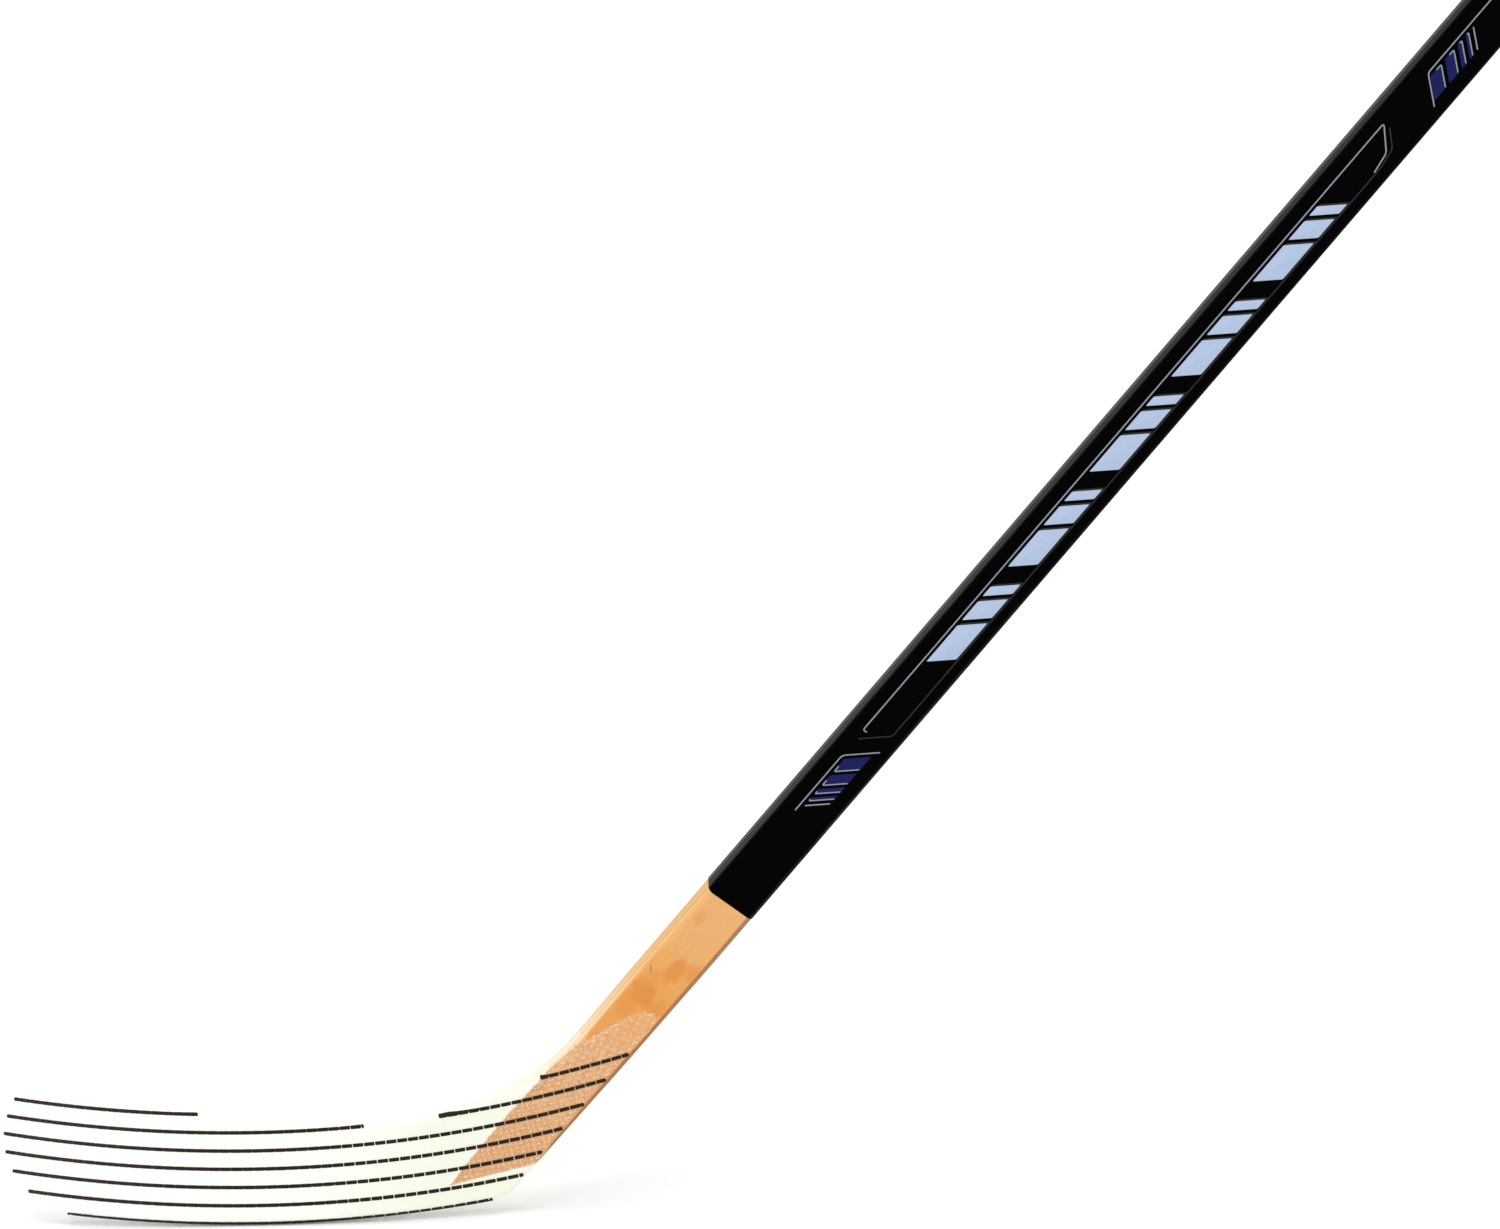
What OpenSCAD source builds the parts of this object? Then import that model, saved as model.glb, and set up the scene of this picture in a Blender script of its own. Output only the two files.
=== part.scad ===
// Ice hockey stick: a laminated wooden shaft bridle-jointed to a moulded blade
// that is faced on both sides with glass cloth.
//
// Frame: the playing pose, standing on its sole. +Z is up, the toe points to -X, the
// shaft rises towards +X in the XZ plane, and the origin is where the sole touches the
// ice. "Front" is the -Y side, the convex (backhand) side of a left-hand curve.

/* [Stick] */
// Length along the shaft from the heel on the ice to the butt
stick_length = 1473; // [1270:1:1600]
// Angle between the ice and the shaft (the lie)
lie = 48; // [45:0.5:51]
// Where the shaft's axis meets the ice, ahead of the sole's contact point
foot_x = 105.9; // [103:0.1:109]

/* [Shaft] */
// Width of the finished shaft, across its wide face
shaft_width = 30; // [26:0.5:32]
// Thickness of the finished shaft, across its narrow face
shaft_thick = 20; // [18:0.5:22]
// Radius of the finished shaft's long corners
corner_radius = 4; // [2.5:0.5:5]
// Thickness of the printed transfer film
film_thick = 0.2; // [0.1:0.05:0.4]
// Depth of the printed ink within the film
ink_thick = 0.1; // [0.05:0.01:0.1]
// Lower end of the film, measured along the axis from the ice
film_start = 237; // [228:1:260]
// Thickness of each glass-fibre strip on the wide faces
glass_thick = 0.6; // [0.3:0.1:0.9]
// Thickness of each birch face veneer
veneer_thick = 1.5; // [1:0.1:2]

/* [Heel joint] */
// Thickness of the blade's tongue, and of the shaft's middle ply
tongue_thick = 5; // [4:0.2:6]
// How far up the axis the tongue reaches between the cheeks
tongue_top = 125; // [121:1:150]
// Height of the cheeks' lower end where it crosses the axis line
cheek_height = 25.4; // [23:0.1:28]
// Slope of the cheeks' lower end
cheek_slope = 12.3; // [9:0.1:15]
// How far the cheeks flare out under the throat, beyond the shaft's width
cheek_flare = 2.8; // [1.5:0.1:3.5]
// Glue line around the tongue and the cheeks
glue = 0.05; // [0.02:0.01:0.1]
// Where the taper starts from the blade's thickness, in X
taper_start = 73; // [60:1:85]
// Where the taper reaches the shaft's full thickness, in X
taper_end = 252; // [230:1:255]

/* [Blade] */
// Distance from the ice contact back to the tip of the toe
toe_reach = 139.2; // [134:0.1:145]
// Radius of the sole's rocker
rocker = 975; // [925:5:1100]
// Radius of the lower half of the toe
toe_low_radius = 44; // [41:1:47]
// Radius of the upper half of the toe
toe_high_radius = 54; // [51:1:58]
// Radius of the toe's top corner
toe_corner = 5; // [3:0.5:8]
// Height of the top edge above the ice contact
blade_height = 65.8; // [64.5:0.1:67]
// Fall of the top edge from the toe to the heel, in degrees
top_fall = 6.4; // [5.5:0.1:7]
// Radius that starts to sweep the top edge up towards the shaft
throat_radius = 190; // [180:1:200]
// Tighter radius that ends the sweep at the shaft
throat_tight = 103; // [98:1:108]
// Direction of the top edge where the tighter radius takes over, in degrees
throat_turn = 20; // [17:1:23]
// Radius of the heel's corner
heel_radius = 24; // [18:1:28]
// Angle by which the lower edge is shaved off towards the heel
heel_cut = 0.5; // [0.2:0.1:0.8]
// Where that shaving starts, along the axis
heel_cut_start = 200; // [180:1:220]
// Half thickness of the core where the heel's taper starts
heel_half = 4; // [3.5:0.1:4.5]
// Half thickness of the core at the toe
toe_half = 2.75; // [2.4:0.05:3.2]
// Where the sideways curve starts, in X
curve_start = 122; // [110:1:127]
// Sideways travel of the toe due to the curve
curve_depth = 32; // [15:1:45]

/* [Glass cloth] */
// Thickness of the resin-bonded glass cloth on each side
cloth_thick = 0.5; // [0.3:0.05:0.8]
// Bare margin between the cloth and the blade's edge
cloth_margin = 0.3; // [0.2:0.1:0.8]
// Upper end of the cloth on the shaft's upper edge, along the axis
cloth_end_high = 123; // [120:1:150]
// Upper end of the cloth on the shaft's lower edge, along the axis
cloth_end_low = 165; // [130:1:175]
// Number of black tracer yarns woven into each cloth
yarns = 7; // [5:1:7]
// Spacing of the tracer yarns
yarn_pitch = 10.9; // [8:0.1:11]
// Width of one tracer yarn
yarn_width = 1.8; // [1.2:0.1:2.2]
// Height that a tracer yarn stands proud of the cloth
yarn_proud = 0.15; // [0.1:0.01:0.3]
// Height of the lowest tracer yarn above the sole
yarn_first = 1.25; // [1.2:0.05:3]

/* [Printed design] */
// Slant of every printed bar, in degrees from square across the shaft
slant = 42; // [30:1:48]
// Widths of the blue bars in each emblem, along the shaft
bar_widths = [9.5, 7.5, 3.5, 2.5, 0.8]; // [0.8:0.1:12]
// Half height of the emblem's bars, across the shaft
bar_reach = 5.4; // [4:0.1:6]
// Width of the fine printed lines
line_width = 0.7; // [0.4:0.1:1]
// Where the lower emblem's first bar starts, along the axis
low_emblem = 348; // [338:1:356]
// Where the upper emblem's first bar starts, along the axis
high_emblem = 848; // [843:1:860]
// Gap between the bars of the lower emblem
low_gap = 2.8; // [1.5:0.1:3]
// Gap between the bars of the upper emblem
high_gap = 3.4; // [2:0.1:4]
// Lower end of the long panel, along the axis
panel_low = 363; // [358:1:380]
// Upper end of the long panel, along the axis
panel_high = 808; // [793:1:815]
// Half height of the long panel, across the shaft
panel_reach = 8; // [7.5:0.1:9]
// Number of groups of pale speed blocks in the panel
groups = 5; // [3:1:6]
// Spacing of the groups
group_pitch = 71; // [60:1:72]
// Where the first group starts, along the axis
group_start = 421; // [408:1:430]
// Widths of the pale blocks in each group
block_widths = [27, 14, 7]; // [4:1:28]
// Gap between the pale blocks
block_gap = 4; // [2:0.5:6]
// Half height of the pale blocks, across the shaft
block_reach = 6; // [5:0.1:6.2]

/* [Hidden] */
half_width = shaft_width / 2;
half_thick = shaft_thick / 2;
wood_half = half_thick - film_thick;
wood_half_width = half_width - film_thick;
glass_in = wood_half - glass_thick;
veneer_in = glass_in - veneer_thick;
tongue_half = tongue_thick / 2;
core_plies = 5;
side_ply = (veneer_in - tongue_half) / 2;
// The butt's place along the axis, where the length is measured along the lower edge
butt = stick_length + half_width / tan(lie);
// Direction of the shaft and the direction across it, in the XZ plane
axis = [cos(lie), sin(lie)];
across = [-sin(lie), cos(lie)];
// Far limits for cutting shapes that only have to be larger than the stick
far = 2000;
// Segments in the blade's plan curve and in each arc of its outline
plan_step = 9;
arc_steps = 14;
lean = tan(slant);
// The brackets round the emblems: their reach across the shaft, the lengths of their
// legs, and how far their corners stand off from the emblem's first bar
bracket_reach = 7.6;
low_leg = 41;
high_leg = 64;
bracket_gap = 1;
// The silver edge turns the corner of each bar by this share of its width, or less
hook_share = 0.5;
hook_limit = 4;
// The long panel's two lines: the low hook's drop, how far the grey line lies inside and
// ahead of the light one, and the shape of the cut-off far end
panel_drop = 2.5;
grey_inset = 1;
grey_lead = 6;
panel_nose = 8;
panel_notch = 5;
panel_hook = 13;
hook_rise = panel_reach / 4;
// Offset of the shade beside each speed block, along and across the shaft
shade_shift = [1.8, -0.4];

// ---- Points and curves in the XZ plane ----

function unit(a) = [cos(a), sin(a)];
function angle_of(v) = atan2(v[1], v[0]);
function arc(c, r, a0, a1) = [for (i = [0 : arc_steps]) c + r * unit(a0 + (a1 - a0) * i / arc_steps)];

// A point of the shaft: s along the axis from the ice, w across it, up and towards the toe
function on_shaft(s, w) = [foot_x, 0] + s * axis + w * across;

// How far along the direction d from the point p a circle about the origin is crossed
function reach_circle(p, d, r, sign) = -(p * d) + sign * sqrt(pow(p * d, 2) - p * p + r * r);

// Centres of the arcs that make up the blade's outline
rocker_centre = [0, rocker];
toe_low_centre = let (x = toe_low_radius - toe_reach)
    [x, rocker - sqrt(pow(rocker - toe_low_radius, 2) - x * x)];
toe_high_centre = [toe_high_radius - toe_reach, toe_low_centre[1]];
top_run = unit(-top_fall);
top_up = unit(90 - top_fall);
corner_base = [0, blade_height] - toe_corner * top_up - toe_high_centre;
corner_centre = toe_high_centre + corner_base
    + reach_circle(corner_base, top_run, toe_high_radius - toe_corner, -1) * top_run;
throat_offset = (throat_radius - throat_tight) * unit(90 + throat_turn);
tight_base = [0, blade_height] + throat_radius * top_up - throat_offset;
tight_centre = tight_base + ((wood_half_width + throat_tight - (tight_base - [foot_x, 0]) * across)
    / (top_run * across)) * top_run;
throat_centre = tight_centre + throat_offset;
throat_start = (tight_centre - [foot_x, 0]) * axis;
heel_run = unit(lie - heel_cut);
heel_base = on_shaft(heel_cut_start, -wood_half_width) + heel_radius * unit(lie - heel_cut + 90)
    - rocker_centre;
heel_centre = rocker_centre + heel_base
    + reach_circle(heel_base, heel_run, rocker - heel_radius, -1) * heel_run;

// Where the shaved lower edge lies across the shaft, and the line that it is shaved along
function shaved_edge(s) = (heel_cut_start - s) * tan(heel_cut) - wood_half_width;
function low_edge(s) = max(-wood_half_width, shaved_edge(s));

// Where the cheeks' upper side lies across the shaft: it flares out under the throat
function cheek_edge(s) = wood_half_width + cheek_flare * sin(180 * limit(s / tongue_top));
cheek_ss = [for (i = [0 : arc_steps]) tongue_top * i / arc_steps];
flank_short = 3;

// The blade's outline drawn inwards by inset, open at the shaft where it ends at
// end_low on the lower edge and at end_high on the upper edge
function blade_outline(inset, end_low, end_high) =
    let (
        heel_turn = angle_of(heel_centre - rocker_centre),
        toe_turn = angle_of(toe_low_centre - rocker_centre),
        corner_turn = angle_of(corner_centre - toe_high_centre)
    )
    concat(
        [on_shaft(end_low, inset + low_edge(end_low))],
        arc(heel_centre, heel_radius - inset, lie - heel_cut - 90, heel_turn),
        arc(rocker_centre, rocker - inset, heel_turn, toe_turn),
        arc(toe_low_centre, toe_low_radius - inset, toe_turn, -180),
        arc(toe_high_centre, toe_high_radius - inset, 180, corner_turn),
        arc(corner_centre, toe_corner - inset, corner_turn, 90 - top_fall),
        arc(throat_centre, throat_radius + inset, -90 - top_fall, throat_turn - 90),
        arc(tight_centre, throat_tight + inset, throat_turn - 90, lie - 90),
        [on_shaft(end_high, wood_half_width - inset)]
    );

// ---- Plan shape: the sideways curve and the thickness ----

function ease(u) = u * u * (3 - 2 * u);
function limit(u) = max(0, min(1, u));

// Sideways place of the blade's middle
function bend(x) = curve_depth * pow(max(0, curve_start - x) / (curve_start + toe_reach), 2);

// Half thickness of the core: thin at the toe, and full at the shaft
function half_at(x) = x < taper_start
    ? toe_half + (heel_half - toe_half) * (x + toe_reach) / (taper_start + toe_reach)
    : heel_half + (wood_half - heel_half) * ease(limit((x - taper_start) / (taper_end - taper_start)));

plan_xs = concat([for (x = [-toe_reach - plan_step : plan_step : taper_end - 1]) x], [taper_end]);

// One long side of the plan, at a height above the core's surface on that side
function plan_side(side, height) = [for (x = plan_xs) [x, bend(x) + side * (half_at(x) + height)]];
function reversed(list) = [for (i = [len(list) - 1 : -1 : 0]) list[i]];

// ---- Tracer yarns: parallel to the sole, rising a little more over the heel ----

yarn_lift_x = 72;
yarn_lift = 0.00024;
yarn_xs = [for (x = [-toe_reach : plan_step : taper_end]) x];
function yarn_z(i, x) = yarn_first + i * yarn_pitch + x * x / (2 * rocker)
    + yarn_lift * pow(max(0, x - yarn_lift_x), 2);

// ---- Building shapes ----

// A side view in the XZ plane, made solid between two places in Y
module side_slab(y0, y1) {
    translate([0, y1, 0]) rotate([90, 0, 0]) linear_extrude(y1 - y0) children();
}

// The shaft's own frame: X along the axis from the ice, Z across towards the toe
module in_shaft() {
    translate([foot_x, 0, 0]) rotate([0, -lie, 0]) children();
}

// A bar along the shaft with rounded long corners
module round_bar(s0, s1, half_w, half_t, r) {
    translate([s0, 0, 0]) rotate([90, 0, 90]) linear_extrude(s1 - s0) {
        square([2 * half_t, 2 * (half_w - r)], center = true);
        square([2 * (half_t - r), 2 * half_w], center = true);
        for (y = [-1, 1], z = [-1, 1]) {
            translate([y * (half_t - r), z * (half_w - r)]) circle(r, $fn = 48);
        }
    }
}

// All that lies between the two tapering faces of the blade and heel, and all of the
// shaft above them
module between_tapers() {
    translate([0, 0, -shaft_width]) linear_extrude(far) polygon(concat(
        plan_side(-1, 0),
        [[taper_end, -shaft_thick], [far, -shaft_thick], [far, shaft_thick], [taper_end, shaft_thick]],
        reversed(plan_side(1, 0))
    ));
}

// A layer that follows one face of the blade, between two heights above the core
module face_layer(side, low, high) {
    translate([0, 0, -shaft_width]) linear_extrude(far / 4)
        polygon(concat(plan_side(side, low), reversed(plan_side(side, high))));
}

// Everything above the cheeks' sloping lower end, moved down by gap
module above_cheek_end(gap) {
    side_slab(-far, far) translate([foot_x + cheek_height / tan(lie), cheek_height])
        rotate(cheek_slope) translate([-far, -gap]) square([2 * far, far]);
}

// Everything above the shaved lower edge
module above_low_edge() {
    in_shaft() side_slab(-far, far)
        polygon([[0, low_edge(0)], [0, far], [far, far], [far, shaved_edge(far)]]);
}

// The flared part of the cheeks, as far as the blade's outline. It ends just short of the
// place where that outline has run into the shaft.
module cheek_flank() {
    intersection() {
        in_shaft() side_slab(-half_thick, half_thick) intersection() {
            polygon(concat([[0, 0]], [for (s = cheek_ss) [s, cheek_edge(s)]], [[tongue_top, 0]]));
            square([throat_start - flank_short, far]);
        }
        side_slab(-far, far) polygon(blade_outline(0, tongue_top, tongue_top));
    }
}

// One layer of the shaft between two places in Y, tapered and cut at the heel
module shaft_layer(y0, y1, start) {
    intersection() {
        union() {
            in_shaft() round_bar(start, butt, wood_half_width, wood_half, corner_radius - film_thick);
            if (start == 0) {
                cheek_flank();
            }
        }
        in_shaft() translate([start - 1, y0, -shaft_width]) cube([butt + 2, y1 - y0, 2 * shaft_width]);
        above_low_edge();
        between_tapers();
        above_cheek_end(0);
    }
}

// The same layer on the front (side -1) or on the back (side 1)
module paired_layer(side, inner, outer) {
    shaft_layer(min(side * inner, side * outer), max(side * inner, side * outer), 0);
}

// ---- The shaft's pieces ----

// Aspen core plies, counted from the front. The middle one stops above the tongue.
module core_ply(i) {
    middle = (core_plies + 1) / 2;
    step = abs(i - middle);
    color(i % 2 == 0 ? "wheat" : "burlywood") {
        if (step == 0) {
            shaft_layer(-tongue_half, tongue_half, tongue_top + glue);
        } else {
            inner = tongue_half + (step - 1) * side_ply;
            paired_layer(sign(i - middle), inner, inner + side_ply);
        }
    }
}

module face_veneer(side) {
    color("tan") paired_layer(side, veneer_in, glass_in);
}

module glass_strip(side) {
    color("khaki") paired_layer(side, glass_in, wood_half);
}

module shaft_film() {
    color("black") difference() {
        in_shaft() difference() {
            round_bar(film_start, butt, half_width, half_thick, corner_radius);
            round_bar(film_start - 1, butt + 1, wood_half_width, wood_half, corner_radius - film_thick);
        }
        for (side = [-1, 1]) {
            ink(side, 1) all_prints();
        }
    }
}

// ---- The blade's pieces ----

module blade_core() {
    color("ivory") difference() {
        intersection() {
            side_slab(-far, far) polygon(blade_outline(0, tongue_top, tongue_top));
            face_core();
        }
        difference() {
            cheek_room();
            side_slab(glue - tongue_half, tongue_half - glue) square(2 * far, center = true);
        }
    }
}

// The blade's full thickness, between its two curved faces
module face_core() {
    translate([0, 0, -shaft_width]) linear_extrude(far / 4)
        polygon(concat(plan_side(-1, 0), reversed(plan_side(1, 0))));
}

// The room that the cheeks take beside the tongue, with the glue line around it
module cheek_room() {
    intersection() {
        in_shaft() side_slab(-far, far) polygon(concat(
            [[far, -far], [-far, -far], [-far, cheek_edge(0) + glue]],
            [for (s = cheek_ss) [s, cheek_edge(s) + glue]],
            [[far, cheek_edge(far) + glue]]
        ));
        above_cheek_end(glue);
    }
}

module glass_cloth(side) {
    color("honeydew") intersection() {
        side_slab(-far, far) polygon(blade_outline(cloth_margin, cloth_end_low, cloth_end_high));
        face_layer(side, 0, cloth_thick);
    }
}

module tracer_yarns(side) {
    color("black") intersection() {
        side_slab(-far, far) intersection() {
            polygon(blade_outline(cloth_margin, cloth_end_low, cloth_end_high));
            for (i = [0 : yarns - 1]) {
                polygon(concat(yarn_edge(i, -yarn_width / 2), reversed(yarn_edge(i, yarn_width / 2))));
            }
        }
        face_layer(side, cloth_thick, cloth_thick + yarn_proud);
    }
}

function yarn_edge(i, rise) = [for (x = yarn_xs) [x, yarn_z(i, x) + rise]];

// ---- The printed design, drawn in the shaft's frame and let in flush with the film ----

// Ink on the front (side -1) or back (side 1) face, reaching out past the film by extra
module ink(side, extra = 0) {
    outer = half_thick + extra;
    inner = half_thick - ink_thick;
    in_shaft() side_slab(min(side * inner, side * outer), max(side * inner, side * outer)) children();
}

// A bar of the given width along the shaft, slanted one way or the other
module slanted_bar(s, width, reach, lean) {
    shift = lean * tan(slant) * reach;
    end = s + width;
    polygon([[s - shift, reach], [end - shift, reach], [end + shift, -reach], [s + shift, -reach]]);
}

function span_before(widths, gap, k) = k == 0 ? 0 : widths[k - 1] + gap + span_before(widths, gap, k - 1);

// Emblem bar number k: the bars get finer along the shaft in the direction run
module emblem_bar(start, run, gap, k) {
    slanted_bar(bar_start(start, run, gap, k), bar_widths[k], bar_reach, -run);
}

function bar_start(start, run, gap, k) =
    let (near = start + run * span_before(bar_widths, gap, k)) min(near, near + run * bar_widths[k]);

// The silver edge of emblem bar number k: down its slanted side that the emblem runs
// towards, with a short hook along its top. The last bar is nothing but this line.
module silver_edge(start, run, gap, k) {
    last = k == len(bar_widths) - 1;
    reach = bar_reach - line_width / 2;
    inset = line_width / (2 * cos(slant));
    side = bar_start(start, run, gap, k) + (run > 0 ? bar_widths[k] : 0) - run * inset;
    top = [side + run * lean * reach, reach];
    hook = last ? [] : [top - [run * min(hook_share * bar_widths[k], hook_limit), 0]];
    stroke(concat(hook, [top, [side - run * lean * reach, -reach]]));
}

// The blue part of an emblem: each bar without its silver edge
module emblem_blue(start, run, gap) {
    for (k = [0 : len(bar_widths) - 2]) {
        difference() {
            emblem_bar(start, run, gap, k);
            silver_edge(start, run, gap, k);
        }
    }
}

module emblem_silver(start, run, gap) {
    for (k = [0 : len(bar_widths) - 1]) {
        silver_edge(start, run, gap, k);
    }
}

// A line of the printed width through some points
module stroke(points) {
    for (i = [0 : len(points) - 2]) {
        a = points[i];
        d = points[i + 1] - a;
        translate(a) rotate(angle_of(d)) translate([0, -line_width / 2]) square([norm(d), line_width]);
        translate(points[i + 1]) circle(line_width / 2, $fn = 16);
    }
}

// The brackets that hold the emblems, each a leg along the shaft and a slanted end
module brackets() {
    slanted = 2 * bracket_reach * lean;
    low_corner = low_emblem - bar_reach * lean + bracket_gap;
    stroke([[low_corner - low_leg, bracket_reach], [low_corner, bracket_reach],
        [low_corner + slanted, -bracket_reach]]);
    high_corner = high_emblem + bar_reach * lean + bracket_gap;
    stroke([[high_corner - slanted, -bracket_reach], [high_corner, bracket_reach],
        [high_corner + high_leg, bracket_reach]]);
}

// The long panel's light line: its low hook, its upper side and its far end
module panel_light() {
    notch = panel_high - panel_notch;
    stroke([[panel_low, panel_reach - panel_drop], [panel_low, panel_reach],
        [panel_high + panel_nose, panel_reach], [notch, -panel_reach / 2],
        [notch - panel_hook, -panel_reach / 2 - hook_rise]]);
}

// The long panel's shaded line: its slanted low end, its lower side and its far end
module panel_grey() {
    inner = panel_reach - grey_inset;
    lead = panel_low - grey_lead;
    stroke([[lead, inner], [lead + 2 * inner * lean, -inner],
        [panel_high - panel_hook, -inner], [panel_high - grey_inset, -panel_reach / 2 - grey_inset],
        [panel_high + panel_nose, panel_reach / 2]]);
}

// Speed blocks: each group has ever narrower slanted blocks
module speed_blocks() {
    for (g = [0 : groups - 1], k = [0 : len(block_widths) - 1]) {
        slanted_bar(group_start + g * group_pitch + span_before(block_widths, block_gap, k),
            block_widths[k], block_reach, 1);
    }
}

// The shade beside each speed block
module block_shades() {
    difference() {
        translate(shade_shift) speed_blocks();
        speed_blocks();
    }
}

module pale_print() {
    speed_blocks();
}

module blue_print() {
    emblem_blue(low_emblem, -1, low_gap);
    emblem_blue(high_emblem, 1, high_gap);
}

module silver_print() {
    emblem_silver(low_emblem, -1, low_gap);
    emblem_silver(high_emblem, 1, high_gap);
    brackets();
    panel_light();
}

module grey_print() {
    block_shades();
    panel_grey();
}

module all_prints() {
    pale_print();
    blue_print();
    silver_print();
    grey_print();
}

module pale_blocks(side) {
    color("lightsteelblue") ink(side) pale_print();
}

module blue_bars(side) {
    color("midnightblue") ink(side) blue_print();
}

module silver_lines(side) {
    color("silver") ink(side) silver_print();
}

module grey_lines(side) {
    color("dimgray") ink(side) grey_print();
}

for (i = [1 : core_plies]) {
    core_ply(i);
}
face_veneer(-1);  // front_face_veneer
face_veneer(1);  // back_face_veneer
glass_strip(-1);  // front_glass_strip
glass_strip(1);  // back_glass_strip
shaft_film();
blade_core();
glass_cloth(-1);  // front_glass_cloth
glass_cloth(1);  // back_glass_cloth
tracer_yarns(-1);  // front_tracer_yarns
tracer_yarns(1);  // back_tracer_yarns
pale_blocks(-1);  // front_pale_blocks
pale_blocks(1);  // back_pale_blocks
blue_bars(-1);  // front_blue_bars
blue_bars(1);  // back_blue_bars
silver_lines(-1);  // front_silver_lines
silver_lines(1);  // back_silver_lines
grey_lines(-1);  // front_grey_lines
grey_lines(1);  // back_grey_lines
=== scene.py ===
from math import atan2, ceil, cos, pi, radians, sin, sqrt, tan

import bmesh
import bpy
import numpy as np
from mathutils import Matrix, Vector, noise
from mathutils.geometry import delaunay_2d_cdt


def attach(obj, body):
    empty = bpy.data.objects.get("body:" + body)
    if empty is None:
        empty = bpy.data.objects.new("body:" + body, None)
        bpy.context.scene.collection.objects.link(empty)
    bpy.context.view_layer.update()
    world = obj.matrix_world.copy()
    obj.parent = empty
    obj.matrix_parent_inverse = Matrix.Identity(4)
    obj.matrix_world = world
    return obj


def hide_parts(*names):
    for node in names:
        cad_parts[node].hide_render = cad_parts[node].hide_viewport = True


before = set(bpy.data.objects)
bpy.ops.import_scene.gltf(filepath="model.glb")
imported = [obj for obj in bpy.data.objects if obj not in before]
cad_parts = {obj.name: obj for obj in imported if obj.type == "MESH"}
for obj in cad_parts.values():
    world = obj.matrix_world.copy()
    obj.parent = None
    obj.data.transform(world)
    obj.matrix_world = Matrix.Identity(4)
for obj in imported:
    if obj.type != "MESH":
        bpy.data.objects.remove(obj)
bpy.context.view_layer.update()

# Everything below is in millimetres, in the CAD frame. Places in the XZ plane are complex
# numbers x + zj, and places on the shaft are s + wj: s along its axis, w across it.
MM = 0.001
SIDES = {"front": -1, "back": 1}

# ---- Driving sizes, as in the CAD source ----

LIE = radians(48)
FOOT_X = 105.9
STICK_LENGTH = 1473
HALF_WIDTH, HALF_THICK = 15, 10
CORNER_RADIUS = 4
FILM_THICK = 0.2
FILM_START = 237
GLASS_THICK, VENEER_THICK = 0.6, 1.5
TONGUE_HALF, TONGUE_TOP = 2.5, 125
GLUE = 0.05
CHEEK_HEIGHT, CHEEK_SLOPE, CHEEK_FLARE = 25.4, radians(12.3), 2.8
TAPER_START, TAPER_END = 73, 252
TOE_REACH, ROCKER = 139.2, 975
TOE_LOW_RADIUS, TOE_HIGH_RADIUS, TOE_CORNER = 44, 54, 5
BLADE_HEIGHT, TOP_FALL = 65.8, radians(6.4)
THROAT_RADIUS, THROAT_TIGHT, THROAT_TURN = 190, 103, radians(20)
HEEL_RADIUS, HEEL_CUT, HEEL_CUT_START = 24, radians(0.5), 200
HEEL_HALF, TOE_HALF = 4, 2.75
CURVE_START, CURVE_DEPTH = 122, 32
CLOTH_THICK, CLOTH_MARGIN = 0.5, 0.3
YARNS, YARN_PITCH = 7, 10.9
YARN_PROUD, YARN_FIRST = 0.15, 1.25
YARN_LIFT_X, YARN_LIFT = 72, 0.00024
SLANT = radians(42)
BAR_WIDTHS, BAR_REACH = (9.5, 7.5, 3.5, 2.5, 0.8), 5.4
LINE_WIDTH = 0.7
LOW_EMBLEM, LOW_GAP, LOW_LEG = 348, 2.8, 41
HIGH_EMBLEM, HIGH_GAP, HIGH_LEG = 848, 3.4, 64
BRACKET_REACH, BRACKET_GAP = 7.6, 1
HOOK_SHARE, HOOK_LIMIT = 0.5, 4
PANEL_LOW, PANEL_HIGH, PANEL_REACH = 363, 808, 8
PANEL_DROP, PANEL_NOSE, PANEL_NOTCH, PANEL_HOOK = 2.5, 8, 5, 13
GREY_INSET, GREY_LEAD = 1, 6
SHADE_SHIFT = complex(1.8, -0.4)
GROUPS, GROUP_START, GROUP_PITCH = 5, 421, 71
BLOCK_WIDTHS, BLOCK_GAP, BLOCK_REACH = (27, 14, 7), 4, 6

WOOD_HALF = HALF_THICK - FILM_THICK
WOOD_HALF_WIDTH = HALF_WIDTH - FILM_THICK
GLASS_IN = WOOD_HALF - GLASS_THICK
VENEER_IN = GLASS_IN - VENEER_THICK
SIDE_PLY = (VENEER_IN - TONGUE_HALF) / 2
BUTT = STICK_LENGTH + HALF_WIDTH / tan(LIE)
LEAN = tan(SLANT)

# ---- Sizes that only the visual model has ----

RIM_ROUND = 2.5  # rounding of the blade's edges
SEAM_PROUD, SEAM_WIDTH = 0.08, 0.12  # parting seam; its width is a share of the thickness
INK_RISE = 0.04
BUTT_CHAMFER = 0.55
SLIT = 0.02  # least thickness and smallest gap of the wood's layers
PLY_DIP, PLY_DIP_HALF = 0.07, 0.35  # how the film sinks over a glue line
# The cloth's skin, its edge on the wood and its upper end
SKIN_THICK, SKIN_FEATHER, SKIN_SINK = 0.38, 2.6, 0.2
CLOTH_EDGE_ON_WOOD = 2.6
CLOTH_END_HIGH, CLOTH_END_LOW = 121, 163
CLOTH_END_TOP, CLOTH_END_SPAN, CLOTH_END_BEND = 13, 24, 2.4
# Glass yarns
WEFT_PITCH, WARPS_PER_TRACER, WARPS = 3.15, 4, 45
GLASS_YARN_WIDTH, GLASS_YARN_THICK, WEFT_SHARE = 1.25, 0.2, 0.8
CROWN_PROUD, WEAVE_WAVE, WEAVE_SINK = 0.08, 0.09, 0.07
YARN_REACH = 130  # how far the wefts run up from the sole
SHORTEST_RUN = 8  # a yarn with fewer steps than this is left out
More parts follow.
